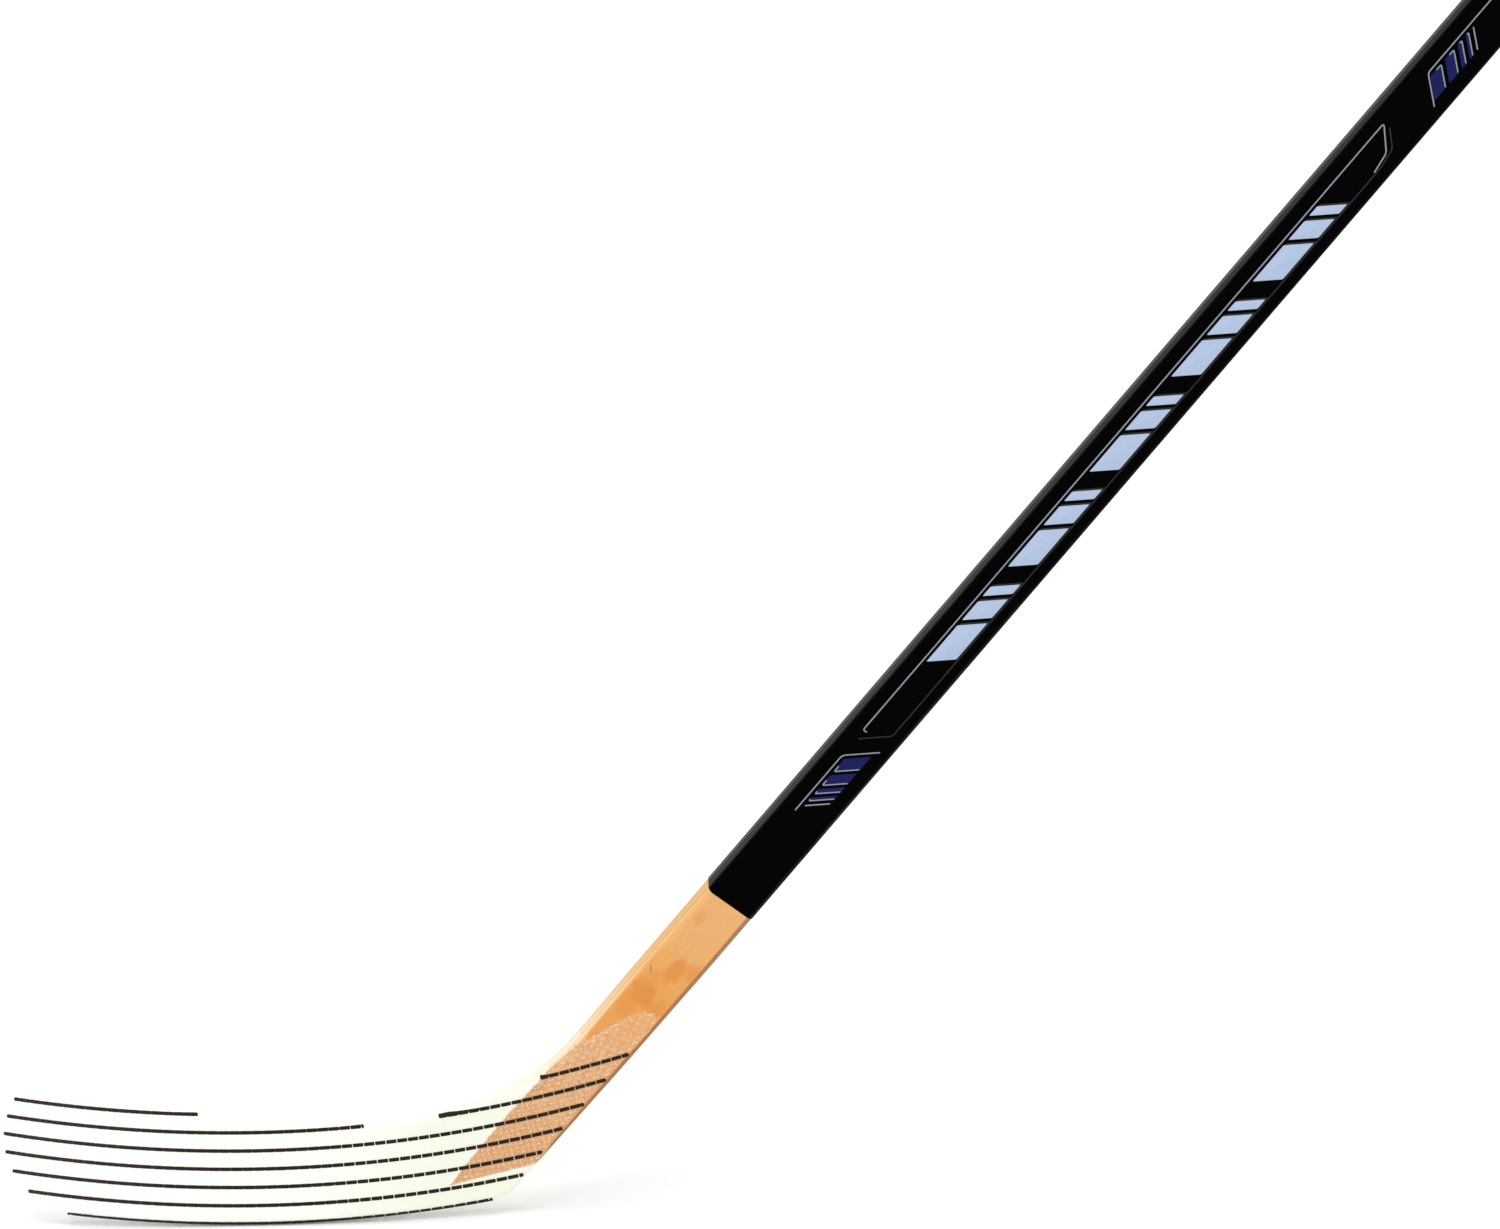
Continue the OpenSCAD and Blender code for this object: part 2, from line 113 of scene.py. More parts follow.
# Tracer yarns: how near they come to the cloth's edge, and how they dip under a weft
TRACER_WIDTH, TRACER_THICK, TRACER_STEP = 2.2, 0.3, 0.22
TRACER_TRIM, CLOSE_TRIM, LOW_TRACER_END = 1.8, 0.5, 125
THROAT_X, THROAT_Z = 85, 40
DIP_HALF, DIP_TOE, DIP_HEEL, DIP_NARROWS = 0.3, 0.05, 0.25, 0.15


# Studio, in metres
FLOOR_REACH = 400
WORLD_STRENGTH = 0.8
CAMERA_AIM, CAMERA_AWAY = (0.2863, 0, 0.34365), 60.0
CAMERA_HEIGHT, CAMERA_ROLL = radians(24.6), radians(4.1)
PICTURE_WIDTH, SENSOR = 1500, 36
PICTURE_SCALE = 0.54  # millimetres at the stick for each step of the picture
FAR_CLIP = 2000


# ---- Points and curves in the XZ plane ----

def unit(angle):
    return complex(cos(angle), sin(angle))


def dot(p, q):
    return (p * q.conjugate()).real


def angle_of(p):
    return atan2(p.imag, p.real)


AXIS = unit(LIE)
ACROSS = AXIS * 1j


def on_shaft(s, w):
    """The place in the XZ plane of a point of the shaft."""
    return FOOT_X + s * AXIS + w * ACROSS


def shaft_place(p):
    """The shaft's own s + wj of a place in the XZ plane."""
    return (p - FOOT_X) / AXIS


def reach_circle(p, d, radius, sign):
    """How far along d from p a circle about the origin is crossed."""
    along = dot(p, d)
    return -along + sign * sqrt(along ** 2 - abs(p) ** 2 + radius ** 2)


def line(a, b, step=2.0):
    """Points from a towards b, without b itself."""
    count = max(1, ceil(abs(b - a) / step))
    return [a + (b - a) * i / count for i in range(count)]


def arc(centre, radius, start, end, step=1.5):
    """Points of an arc, without its last one."""
    count = max(3, ceil(abs(end - start) * radius / step))
    return [centre + radius * unit(start + (end - start) * i / count) for i in range(count)]


def smooth(u):
    u = np.clip(u, 0, 1)
    return u * u * (3 - 2 * u)


# Centres of the arcs of the blade's outline
ROCKER_CENTRE = complex(0, ROCKER)
TOE_LOW_X = TOE_LOW_RADIUS - TOE_REACH
TOE_LOW_CENTRE = complex(TOE_LOW_X, ROCKER - sqrt((ROCKER - TOE_LOW_RADIUS) ** 2 - TOE_LOW_X ** 2))
TOE_HIGH_CENTRE = complex(TOE_HIGH_RADIUS - TOE_REACH, TOE_LOW_CENTRE.imag)
TOP_RUN = unit(-TOP_FALL)
TOP_UP = TOP_RUN * 1j
CORNER_BASE = complex(0, BLADE_HEIGHT) - TOE_CORNER * TOP_UP - TOE_HIGH_CENTRE
CORNER_REACH = reach_circle(CORNER_BASE, TOP_RUN, TOE_HIGH_RADIUS - TOE_CORNER, -1)
CORNER_CENTRE = TOE_HIGH_CENTRE + CORNER_BASE + CORNER_REACH * TOP_RUN
THROAT_OFFSET = (THROAT_RADIUS - THROAT_TIGHT) * unit(pi / 2 + THROAT_TURN)
TIGHT_BASE = complex(0, BLADE_HEIGHT) + THROAT_RADIUS * TOP_UP - THROAT_OFFSET
TIGHT_RISE = WOOD_HALF_WIDTH + THROAT_TIGHT - dot(TIGHT_BASE - FOOT_X, ACROSS)
TIGHT_CENTRE = TIGHT_BASE + TIGHT_RISE / dot(TOP_RUN, ACROSS) * TOP_RUN
THROAT_CENTRE = TIGHT_CENTRE + THROAT_OFFSET
HEEL_RUN = unit(LIE - HEEL_CUT)
HEEL_BASE = on_shaft(HEEL_CUT_START, -WOOD_HALF_WIDTH) + HEEL_RADIUS * HEEL_RUN * 1j - ROCKER_CENTRE
HEEL_REACH = reach_circle(HEEL_BASE, HEEL_RUN, ROCKER - HEEL_RADIUS, -1)
HEEL_CENTRE = ROCKER_CENTRE + HEEL_BASE + HEEL_REACH * HEEL_RUN
HEEL_TURN = angle_of(HEEL_CENTRE - ROCKER_CENTRE)
TOE_TURN = angle_of(TOE_LOW_CENTRE - ROCKER_CENTRE)
CORNER_TURN = angle_of(CORNER_CENTRE - TOE_HIGH_CENTRE)
HEEL_S = shaft_place(HEEL_CENTRE).real
THROAT_S = shaft_place(TIGHT_CENTRE).real


def blade_arcs(inset):
    """The blade's outline from the heel round the sole, toe and top edge to the throat."""
    return (
        arc(HEEL_CENTRE, HEEL_RADIUS - inset, LIE - HEEL_CUT - pi / 2, HEEL_TURN, 0.8)
        + arc(ROCKER_CENTRE, ROCKER - inset, HEEL_TURN, TOE_TURN)
        + arc(TOE_LOW_CENTRE, TOE_LOW_RADIUS - inset, TOE_TURN, -pi)
        + arc(TOE_HIGH_CENTRE, TOE_HIGH_RADIUS - inset, pi, CORNER_TURN)
        + arc(CORNER_CENTRE, TOE_CORNER - inset, CORNER_TURN, pi / 2 - TOP_FALL, 0.5)
        + arc(THROAT_CENTRE, THROAT_RADIUS + inset, -pi / 2 - TOP_FALL, THROAT_TURN - pi / 2)
        + arc(TIGHT_CENTRE, THROAT_TIGHT + inset, THROAT_TURN - pi / 2, LIE - pi / 2)
    )


def low_edge(s):
    """Where the shaved lower edge lies across the shaft."""
    return np.maximum(0, HEEL_CUT_START - s) * tan(HEEL_CUT) - WOOD_HALF_WIDTH


def cheek_edge(s):
    """Where the cheeks' upper side lies across the shaft: it flares out under the throat."""
    return WOOD_HALF_WIDTH + CHEEK_FLARE * np.sin(pi * np.clip(s / TONGUE_TOP, 0, 1))


def throat_edge(s):
    """Where the blade's outline lies across the shaft near the throat."""
    short = np.clip(THROAT_S - s, 0, 0.9 * THROAT_TIGHT)
    return WOOD_HALF_WIDTH + THROAT_TIGHT - np.sqrt(THROAT_TIGHT ** 2 - short ** 2)


def cheek_end(w):
    """Where the cheeks' sloping lower end crosses the shaft at w."""
    slope = tan(CHEEK_SLOPE)
    rise = FOOT_X - w * sin(LIE) - (FOOT_X + CHEEK_HEIGHT / tan(LIE))
    return (CHEEK_HEIGHT + slope * rise - w * cos(LIE)) / (sin(LIE) - slope * cos(LIE))


# ---- Plan shape: the sideways curve and the thickness ----

def bend(x):
    return CURVE_DEPTH * (np.maximum(0, CURVE_START - x) / (CURVE_START + TOE_REACH)) ** 2


def half_at(x):
    thin = TOE_HALF + (HEEL_HALF - TOE_HALF) * (x + TOE_REACH) / (TAPER_START + TOE_REACH)
    rise = smooth((x - TAPER_START) / (TAPER_END - TAPER_START))
    return np.where(x < TAPER_START, thin, HEEL_HALF + (WOOD_HALF - HEEL_HALF) * rise)


def rim_drop(depth, radius=RIM_ROUND):
    """How far a rounded edge falls away at some depth in from it."""
    left = np.clip(radius - depth, 0, radius)
    return radius - np.sqrt(radius ** 2 - left ** 2)


def surface_y(side, places, height):
    """The Y of places at a height over one face of the blade, whose edges are rounded."""
    half = half_at(places.real) - rim_drop(distance(RIM, places))
    return bend(places.real) + side * (half + height)


def wobble(x, y, size, seed=0.0):
    """Smooth unevenness between -1 and 1 with features of the given size."""
    return noise.noise(Vector((x / size, y / size, seed)))


# ---- Meshes ----

def make_piece(name, shape, material, slot, replaces=(), sharp=35):
    """A piece of the stick that rides on its one body."""
    mesh = bpy.data.meshes.new(name)
    mesh.from_pydata([Vector(v) * MM for v in shape.verts], [], shape.faces)
    mesh.validate()
    shell = bmesh.new()
    shell.from_mesh(mesh)
    bmesh.ops.recalc_face_normals(shell, faces=shell.faces)
    shell.to_mesh(mesh)
    shell.free()
    mesh.materials.append(material)
    mesh.shade_smooth()
    mesh.set_sharp_from_angle(angle=radians(sharp))
    piece = bpy.data.objects.new(name, mesh)
    bpy.context.scene.collection.objects.link(piece)
    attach(piece, "root")
    if replaces:
        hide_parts(*replaces)


class Shape:
    """Vertices and faces gathered from several closed parts."""

    def __init__(self):
        self.verts, self.faces = [], []

    def add(self, verts, faces):
        base = len(self.verts)
        self.verts += [tuple(v) for v in verts]
        self.faces += [tuple(base + i for i in face) for face in faces]

    def loft(self, rings, wrap=False):
        """A skin over rings of points, closed by caps or back onto its first ring."""
        count, size = len(rings), len(rings[0])
        faces = []
        for r in range(count if wrap else count - 1):
            here, there = r * size, (r + 1) % count * size
            for i in range(size):
                j = (i + 1) % size
                faces.append((here + i, here + j, there + j, there + i))
        if not wrap:
            faces.append(tuple(reversed(range(size))))
            faces.append(tuple(range((count - 1) * size, count * size)))
        self.add([p for ring in rings for p in ring], faces)


def inside(loop, points):
    """Which points lie inside a closed loop."""
    odd = np.zeros(len(points), bool)
    for a, b in zip(loop, loop[1:] + loop[:1]):
        if a.imag != b.imag:
            crosses = (a.imag > points.imag) != (b.imag > points.imag)
            at = a.real + (points.imag - a.imag) * (b.real - a.real) / (b.imag - a.imag)
            odd ^= crosses & (points.real < at)
    return odd


def distance(loop, points):
    """How far each point is from a closed loop."""
    best = np.full(len(points), 1e9)
    for a, b in zip(loop, loop[1:] + loop[:1]):
        run = b - a
        along = np.clip(((points - a) * np.conj(run)).real / abs(run) ** 2, 0, 1)
        best = np.minimum(best, abs(points - a - along * run))
    return best


# The outline that the blade's rounded edges follow, closed well up the shaft
RIM = blade_arcs(0) + [on_shaft(HEEL_CUT_START, w) for w in (WOOD_HALF_WIDTH, -WOOD_HALF_WIDTH)]


def fill(loop, near, step, clear):
    """A triangulation of the loop through the near points and a grid kept clear of it."""
    corners = np.array(loop)
    xs = np.arange(corners.real.min(), corners.real.max(), step)
    zs = np.arange(corners.imag.min(), corners.imag.max(), step)
    grid = (xs[None, :] + 1j * zs[:, None]).ravel()
    grid = grid[inside(loop, grid)]
    grid = grid[distance(loop, grid) > clear]
    near = np.array(near)
    near = near[inside(loop, near)]
    near = near[distance(loop, near) > 0.03]
    flat = [Vector((p.real, p.imag)) for p in [*loop, *near, *grid]]
    places, _, faces, *_ = delaunay_2d_cdt(flat, [], [list(range(len(loop)))], 1, 1e-4)
    return np.array([complex(*p) for p in places]), faces


def add_sheet(shape, places, faces, front, back, rim=()):
    """A closed solid between two heights in Y over a triangulation. Each row of rim is a
    share of the way from front to back and how far the rim stands out there."""
    count = len(places)
    verts = [(p.real, y, p.imag) for y_all in (front, back) for p, y in zip(places, y_all)]
    skin = [tuple(f) for f in faces] + [tuple(count + i for i in reversed(f)) for f in faces]
    used = {(a, b) for f in faces for a, b in zip(f, [*f[1:], f[0]])}
    edge = {a: b for a, b in used if (b, a) not in used}
    before = {b: a for a, b in edge.items()}
    columns = {}
    for i in edge:
        out = (places[edge[i]] - places[before[i]]) * -1j
        out /= abs(out)
        columns[i] = [i]
        for share, proud in rim:
            p = places[i] + out * proud
            columns[i].append(len(verts))
            verts.append((p.real, front[i] + share * (back[i] - front[i]), p.imag))
        columns[i].append(count + i)
    for a, b in edge.items():
        for k in range(len(rim) + 1):
            skin.append((columns[b][k], columns[a][k], columns[a][k + 1], columns[b][k + 1]))
    shape.add(verts, skin)


# ---- Materials ----

def srgb(red, green, blue):
    """A linear colour from 0 to 255 values."""
    parts = [v / 255 for v in (red, green, blue)]
    return (*[p / 12.92 if p < 0.04045 else ((p + 0.055) / 1.055) ** 2.4 for p in parts], 1)


class Paint:
    """A procedural material, with short ways to make its nodes."""

    def __init__(self, name, **shader):
        self.material = bpy.data.materials.new(name)
        self.material.use_nodes = True
        self.tree = self.material.node_tree
        self.shader = self.tree.nodes["Principled BSDF"]
        for key, value in shader.items():
            self.shader.inputs[key.replace("_", " ")].default_value = value

    def node(self, kind, inputs=(), **settings):
        made = self.tree.nodes.new("ShaderNode" + kind)
        for key, value in settings.items():
            setattr(made, key, value)
        for key, value in dict(inputs).items():
            self.put(made.inputs[key], value)
        return made

    def put(self, socket, value):
        if isinstance(value, bpy.types.NodeSocket):
            self.tree.links.new(value, socket)
        else:
            socket.default_value = value

    def math(self, operation, a, b=0.0, c=0.0):
        made = self.node("Math", {0: a, 1: b, 2: c}, operation=operation)
        return made.outputs[0]

    def times(self, a, b):
        return self.math("MULTIPLY", a, b)

    def plus(self, a, b):
        return self.math("ADD", a, b)

    def fit(self, a, scale, shift):
        return self.math("MULTIPLY_ADD", a, scale, shift)

    def step(self, value, low, high):
        """0 below low, 1 above high, and smooth between them."""
        made = self.node("MapRange", {"Value": value, "From Min": low, "From Max": high},
                         interpolation_type="SMOOTHSTEP")
        return made.outputs["Result"]

    def mix(self, share, a, b):
        made = self.node("Mix", data_type="RGBA")
        for socket, value in zip((made.inputs[0], made.inputs[6], made.inputs[7]), (share, a, b)):
            self.put(socket, value)
        return made.outputs[2]

    def noise(self, place, stretch=(1, 1, 1), detail=3.0, rough=0.5, twist=0.0):
        """Noise over a place in millimetres, which stretch scales along each direction."""
        scaled = self.node("VectorMath", {0: place, 1: stretch}, operation="MULTIPLY")
        made = self.node("TexNoise", {"Vector": scaled.outputs[0], "Scale": 1.0, "Detail": detail,
                                      "Roughness": rough, "Distortion": twist})
        return made.outputs["Fac"]

    def stick_space(self):
        """Object coordinates in millimetres."""
        place = self.node("TexCoord").outputs["Object"]
        scaled = self.node("VectorMath", {0: place, "Scale": 1 / MM}, operation="SCALE")
        return scaled.outputs[0]

    def shaft_space(self):
        """Millimetres along the shaft, through its thickness and across it."""
        place = self.node("TexCoord").outputs["Object"]
        made = self.node("Mapping", {
            "Vector": place,
            "Location": (-FOOT_X * cos(LIE), 0, FOOT_X * sin(LIE)),
            "Rotation": (0, LIE, 0),
            "Scale": (1 / MM, 1 / MM, 1 / MM),
        })
        return made.outputs[0]

    def parts(self, place):
        return self.node("SeparateXYZ", {0: place}).outputs

    def colour(self, value):
        self.put(self.shader.inputs["Base Color"], value)

    def rough(self, value, low, high):
        made = self.node("MapRange", {"Value": value, "To Min": low, "To Max": high})
        self.put(self.shader.inputs["Roughness"], made.outputs["Result"])

    def bump(self, height, depth):
        """Bumps of the given depth in millimetres."""
        made = self.node("Bump", {"Height": height, "Strength": 1.0, "Distance": depth * MM})
        self.put(self.shader.inputs["Normal"], made.outputs["Normal"])


def spot(paint, s, w, centre, radius, stretch):
    """A soft round mark on the shaft's wide faces, longer along the shaft by stretch."""
    along = paint.math("DIVIDE", paint.math("SUBTRACT", s, centre.real), stretch)
    aside = paint.math("SUBTRACT", w, centre.imag)
    far = paint.math("SQRT", paint.plus(paint.math("POWER", along, 2.0),
                                        paint.math("POWER", aside, 2.0)))
    return paint.step(far, radius, 0.35 * radius)


def wood(name, light, dark, edge_tint, end_tint, rough=(0.42, 0.6)):
    """Wood with its grain along the shaft, and end grain at the butt."""
    paint = Paint(name, Specular_IOR_Level=0.35, Coat_Weight=0.12, Coat_Roughness=0.35)
    place = paint.shaft_space()
    s, _, w = paint.parts(place)
    bands = paint.noise(place, (0.008, 0.55, 0.55), 3, 0.5, 0.6)
    fibres = paint.noise(place, (0.07, 5.5, 5.5), 4, 0.6, 0.3)
    pores = paint.noise(place, (0.35, 9, 9), 2, 0.5)
    colour = paint.mix(paint.step(bands, 0.35, 0.68), light, dark)
    colour = paint.mix(paint.times(paint.step(fibres, 0.5, 0.75), 0.45), colour, edge_tint)
    colour = paint.mix(paint.times(paint.step(pores, 0.63, 0.72), 0.5), colour, dark)
    rings = paint.noise(place, (0.5, 1.6, 0.25), 4, 0.6, 0.8)
    ends = paint.mix(paint.step(rings, 0.35, 0.65), end_tint, dark)
    at_end = paint.step(s, BUTT - 0.5, BUTT - 0.1)
    paint.colour(edge_highlight_and_shade(paint, s, w, paint.mix(at_end, colour, ends)))
    paint.rough(fibres, *rough)
    paint.bump(paint.plus(fibres, paint.times(pores, 0.6)), 0.05)
    return paint.material


def edge_highlight_and_shade(paint, s, w, colour):
    """Painted highlight in cream along the upper side near the throat, and painted shade in
    brown along the lower edge."""
    # Painted highlight: cream on the upper rounded corner near the throat.
    painted_highlight = paint.times(paint.step(w, 13.4, 14.5), paint.step(s, 200.0, 90.0))
    colour = paint.mix(paint.times(painted_highlight, 0.7), colour, srgb(246, 232, 204))
    # Painted shade: brown along the lower rounded edge.
    return paint.mix(paint.times(paint.step(w, -10.8, -12.0), 0.85), colour, srgb(150, 92, 50))


def aspen_wood(name, tone):
    """Pale core wood; tone shifts its colour a little from one ply to the next."""
    light = srgb(234 - tone, 190 - 1.5 * tone, 124 - 2 * tone)
    dark = srgb(220 - tone, 166 - 1.5 * tone, 96 - 2 * tone)
    return wood(name, light, dark, srgb(206, 146, 78), srgb(205, 158, 104))


# Stains in the wood above the cloth: where, how large, how much longer than wide, how deep
STAINS = (
    (complex(165, 2.5), 8.5, 1.5, 1.0),
    (complex(168, 9), 8, 1.5, 0.95),
    (complex(157, 8), 9, 2.0, 0.7),
    (complex(160, -6), 10, 1.9, 0.7),
    (complex(187, -0.5), 7.5, 1.7, 0.9),
    (complex(193, -8), 6, 1.7, 0.7),
    (complex(178, 6), 8, 1.8, 0.55),
    (complex(221, 9), 4.5, 1.3, 0.6),
)


def faced_wood(name):
    """Veneer under a thin glass strip, stained where they thin out above the cloth."""
    paint = Paint(name, Specular_IOR_Level=0.4, Coat_Weight=0.2, Coat_Roughness=0.35)
    place = paint.shaft_space()
    s, y, w = paint.parts(place)
    blur = paint.noise(place, (0.09, 0.09, 0.09), 4, 0.6, 0.7)
    fibres = paint.noise(place, (0.05, 4.5, 4.5), 4, 0.65, 0.2)
    flecks = paint.noise(place, (0.6, 2.2, 2.2), 3, 0.6)
    fade = paint.plus(s, paint.fit(blur, 70.0, -35.0))
    base = paint.mix(paint.step(fade, 153.0, 235.0), srgb(235, 164, 80), srgb(228, 172, 106))
    pale = paint.mix(paint.times(paint.step(fibres, 0.42, 0.72), 0.7), base, srgb(210, 146, 76))
    pale = paint.mix(paint.times(paint.step(flecks, 0.52, 0.7), 0.3), pale, srgb(240, 186, 120))
    warped_s = paint.plus(s, paint.fit(blur, 30.0, -15.0))
    warped_w = paint.plus(w, paint.fit(flecks, 7.0, -3.5))
    stains = paint.times(paint.step(warped_s, 212.0, 160.0), 0.42)
    for centre, radius, stretch, weight in STAINS:
        mark = spot(paint, warped_s, warped_w, centre, radius, stretch)
        stains = paint.math("MAXIMUM", stains, paint.times(mark, weight))
    on_front = paint.math("LESS_THAN", y, 0.0)
    on_back = paint.math("SUBTRACT", 1.0, on_front)
    back_marks = paint.times(paint.step(blur, 0.56, 0.7), 0.5)
    marks = paint.math("MAXIMUM", paint.times(stains, on_front),
                       paint.times(back_marks, on_back))
    near_taper = paint.step(s, 243.0, 203.0)
    marks = paint.times(marks, paint.fit(near_taper, 0.8, 0.2))
    paint.colour(edge_highlight_and_shade(paint, s, w, paint.mix(marks, pale, srgb(218, 136, 44))))
    paint.rough(flecks, 0.34, 0.55)
    paint.bump(paint.plus(fibres, flecks), 0.04)
    return paint.material


def over_wood(paint, place, soft):
    """Where the cloth lies on the wooden cheeks and not on the moulded blade."""
    s, _, w = paint.parts(paint.shaft_space())
    x, _, z = paint.parts(place)
    cloud = paint.noise(place, (0.5, 0.5, 0.5), 3)
    ragged = paint.fit(cloud, 2.4 * soft, -1.2 * soft)
    slope = tan(CHEEK_SLOPE)
    foot = CHEEK_HEIGHT - slope * (FOOT_X + CHEEK_HEIGHT / tan(LIE))
    line_z = paint.fit(x, slope, foot)
    above = paint.math("SUBTRACT", z, line_z)
    turn = paint.times(s, pi / TONGUE_TOP)
    turn = paint.math("MINIMUM", paint.math("MAXIMUM", turn, 0.0), pi)
    edge = paint.fit(paint.math("SINE", turn), CHEEK_FLARE, WOOD_HALF_WIDTH)
    under_throat = paint.math("SUBTRACT", edge, w)
    nearer = paint.plus(paint.math("MINIMUM", above, under_throat), ragged)
    return paint.step(nearer, -soft, soft)


def moulding_colour_with_painted_shade(paint, place):
    """The moulded blade's colour: white at the toe, turning a greenish cream at the heel as painted shade.
    """
    x, _, _ = paint.parts(place)
    cloud = paint.noise(place, (0.03, 0.03, 0.03), 3)
    shifted = paint.plus(x, paint.fit(cloud, 60.0, -30.0))
    colour = paint.mix(paint.step(shifted, -120.0, 10.0), srgb(253, 253, 250), srgb(252, 252, 244))
    # Painted shade: the heel side darkens to a greenish cream.
    return paint.mix(paint.step(shifted, 10.0, 110.0), colour, srgb(240, 244, 226))


def moulded_plastic():
    paint = Paint("moulded_plastic", Specular_IOR_Level=0.4, Subsurface_Weight=0.0)
    place = paint.stick_space()
    scuffs = paint.noise(place, (0.25, 1.5, 1.5), 4, 0.6)
    peel = paint.noise(place, (1.2, 1.2, 1.2), 2, 0.5)
    s, _, _ = paint.parts(paint.shaft_space())
    # Painted shade: a darker cream from s = 55 mm upward, near the throat.
    colour = paint.mix(paint.step(s, 55.0, 110.0), moulding_colour_with_painted_shade(paint, place), srgb(240, 226, 200))
    dirt = paint.times(paint.step(scuffs, 0.6, 0.72), 0.25)
    paint.colour(paint.mix(dirt, colour, srgb(196, 190, 176)))
    paint.rough(scuffs, 0.3, 0.5)
    paint.bump(peel, 0.03)
    return paint.material


def cloth_resin():
    """The resin that holds the glass cloth. It takes the colour of what lies beneath, with
    rows of paler specks where yarns cross on the wood, partly the glass's own colour and partly
    painted highlight, and clears towards its upper end."""
    paint = Paint("cloth_resin", Specular_IOR_Level=0.4, Coat_Weight=0.15, Coat_Roughness=0.3)
    place = paint.stick_space()
    mottle = paint.noise(place, (0.35, 0.35, 0.35), 4, 0.65, 0.5)
    grainy = paint.noise(place, (1.6, 1.6, 1.6), 3, 0.6)
    x, _, z = paint.parts(place)
    wooden = paint.mix(paint.step(z, 27.0, 107.0), srgb(212, 152, 96), srgb(220, 164, 108))
    wooden = paint.mix(paint.step(mottle, 0.4, 0.68), wooden, srgb(196, 128, 70))
    wooden = paint.mix(paint.times(paint.step(grainy, 0.5, 0.68), 0.5), wooden, srgb(232, 190, 146))
    rows = paint.math("SINE", paint.fit(x, -0.92, paint.times(z, 3.5)))
    columns = paint.math("SINE", paint.fit(z, 1.0, paint.times(x, 3.8)))
    # Paler specks at the yarn crossings: the glass's own colour and painted highlight.
    specks = paint.step(paint.times(rows, columns), 0.05, 0.5)
    wooden = paint.mix(paint.times(specks, 0.55), wooden, srgb(238, 204, 166))
    s, _, _ = paint.parts(paint.shaft_space())
    clear = paint.plus(s, paint.fit(mottle, 40.0, -20.0))
    wooden = paint.mix(paint.times(paint.step(clear, 120.0, 160.0), 0.8), wooden, srgb(228, 160, 88))
    under = moulding_colour_with_painted_shade(paint, place)
    paint.colour(paint.mix(over_wood(paint, place, 0.7), under, wooden))
    paint.rough(grainy, 0.35, 0.55)
    paint.bump(mottle, 0.05)
    return paint.material


def glass_yarn():
    """Glass yarn crowns in the cloth: pale on the wood, and lost on the white blade."""
    paint = Paint("glass_yarn", Specular_IOR_Level=0.5)
    place = paint.stick_space()
    sparkle = paint.noise(place, (1.1, 1.1, 1.1), 3, 0.6)
    on_wood = paint.mix(paint.step(sparkle, 0.44, 0.62), srgb(222, 174, 128), srgb(240, 208, 172))
    paint.colour(paint.mix(over_wood(paint, place, 0.7), moulding_colour_with_painted_shade(paint, place), on_wood))
    paint.rough(sparkle, 0.3, 0.6)
    paint.bump(paint.noise(place, (4, 4, 4), 2), 0.03)
    return paint.material


def tracer_black():
    paint = Paint("tracer_black", Specular_IOR_Level=0.2)
    place = paint.stick_space()
    x, _, _ = paint.parts(place)
    fuzz = paint.noise(place, (1.4, 1.4, 1.4), 4, 0.7)
    dark = paint.mix(paint.step(fuzz, 0.5, 0.75), srgb(26, 17, 10), srgb(66, 48, 30))
    faded = paint.mix(paint.step(fuzz, 0.45, 0.75), srgb(36, 27, 18), srgb(98, 80, 58))
    paint.colour(paint.mix(paint.step(x, 0.0, -140.0), dark, faded))
    paint.rough(fuzz, 0.5, 0.8)
    paint.bump(paint.noise(place, (3, 3, 3), 3), 0.06)
    return paint.material


def black_film():
    """Printed black film: a painted reflection in grey along the outer half of the upper side,
    with a painted highlight line in brown beside it towards the heel, and rubbed brown along
    the lower corners."""
    paint = Paint("black_film", Specular_IOR_Level=0.015)
    place = paint.shaft_space()
    s, y, w = paint.parts(place)
    streaks = paint.noise(place, (0.02, 1.4, 1.4), 4, 0.6)
    specks = paint.noise(place, (0.9, 0.9, 0.9), 3, 0.6)
    flat_y = paint.math("SUBTRACT", paint.math("ABSOLUTE", y), HALF_THICK - CORNER_RADIUS)
    flat_w = paint.math("SUBTRACT", paint.math("ABSOLUTE", w), HALF_WIDTH - CORNER_RADIUS)
    corner = paint.math("MINIMUM", paint.step(flat_y, 1.0, 2.6), paint.step(flat_w, 1.0, 2.6))
    worn = paint.times(corner, paint.step(streaks, 0.4, 0.62))
    rubbed = paint.times(paint.step(specks, 0.62, 0.75), 0.3)
    colour = paint.mix(rubbed, srgb(1, 1, 1), srgb(6, 5, 5))
    low_part = paint.step(s, 700.0, 300.0)
    worn = paint.times(worn, paint.times(low_part, paint.math("LESS_THAN", w, 0.0)))
    colour = paint.mix(paint.times(worn, 0.6), colour, srgb(74, 62, 48))
    upper = paint.step(w, HALF_WIDTH - 2.2, HALF_WIDTH - 0.6)
    # Painted reflection: grey over the outer half of the upper narrow side.
    outer = paint.times(upper, paint.step(y, 0.0, 3.5))
    # Painted highlight: a thin brown line along the upper narrow side, towards the heel.
    thin_band = paint.step(paint.math("ABSOLUTE", paint.plus(y, 2.2)), 1.4, 0.3)
    thin_band = paint.times(paint.times(thin_band, upper), low_part)
    colour = paint.mix(paint.times(thin_band, 0.8), colour, srgb(70, 56, 40))
    paint.colour(paint.mix(paint.times(outer, 0.75), colour, srgb(88, 82, 76)))
    paint.rough(streaks, 0.22, 0.42)
    paint.bump(streaks, 0.03)
    return paint.material


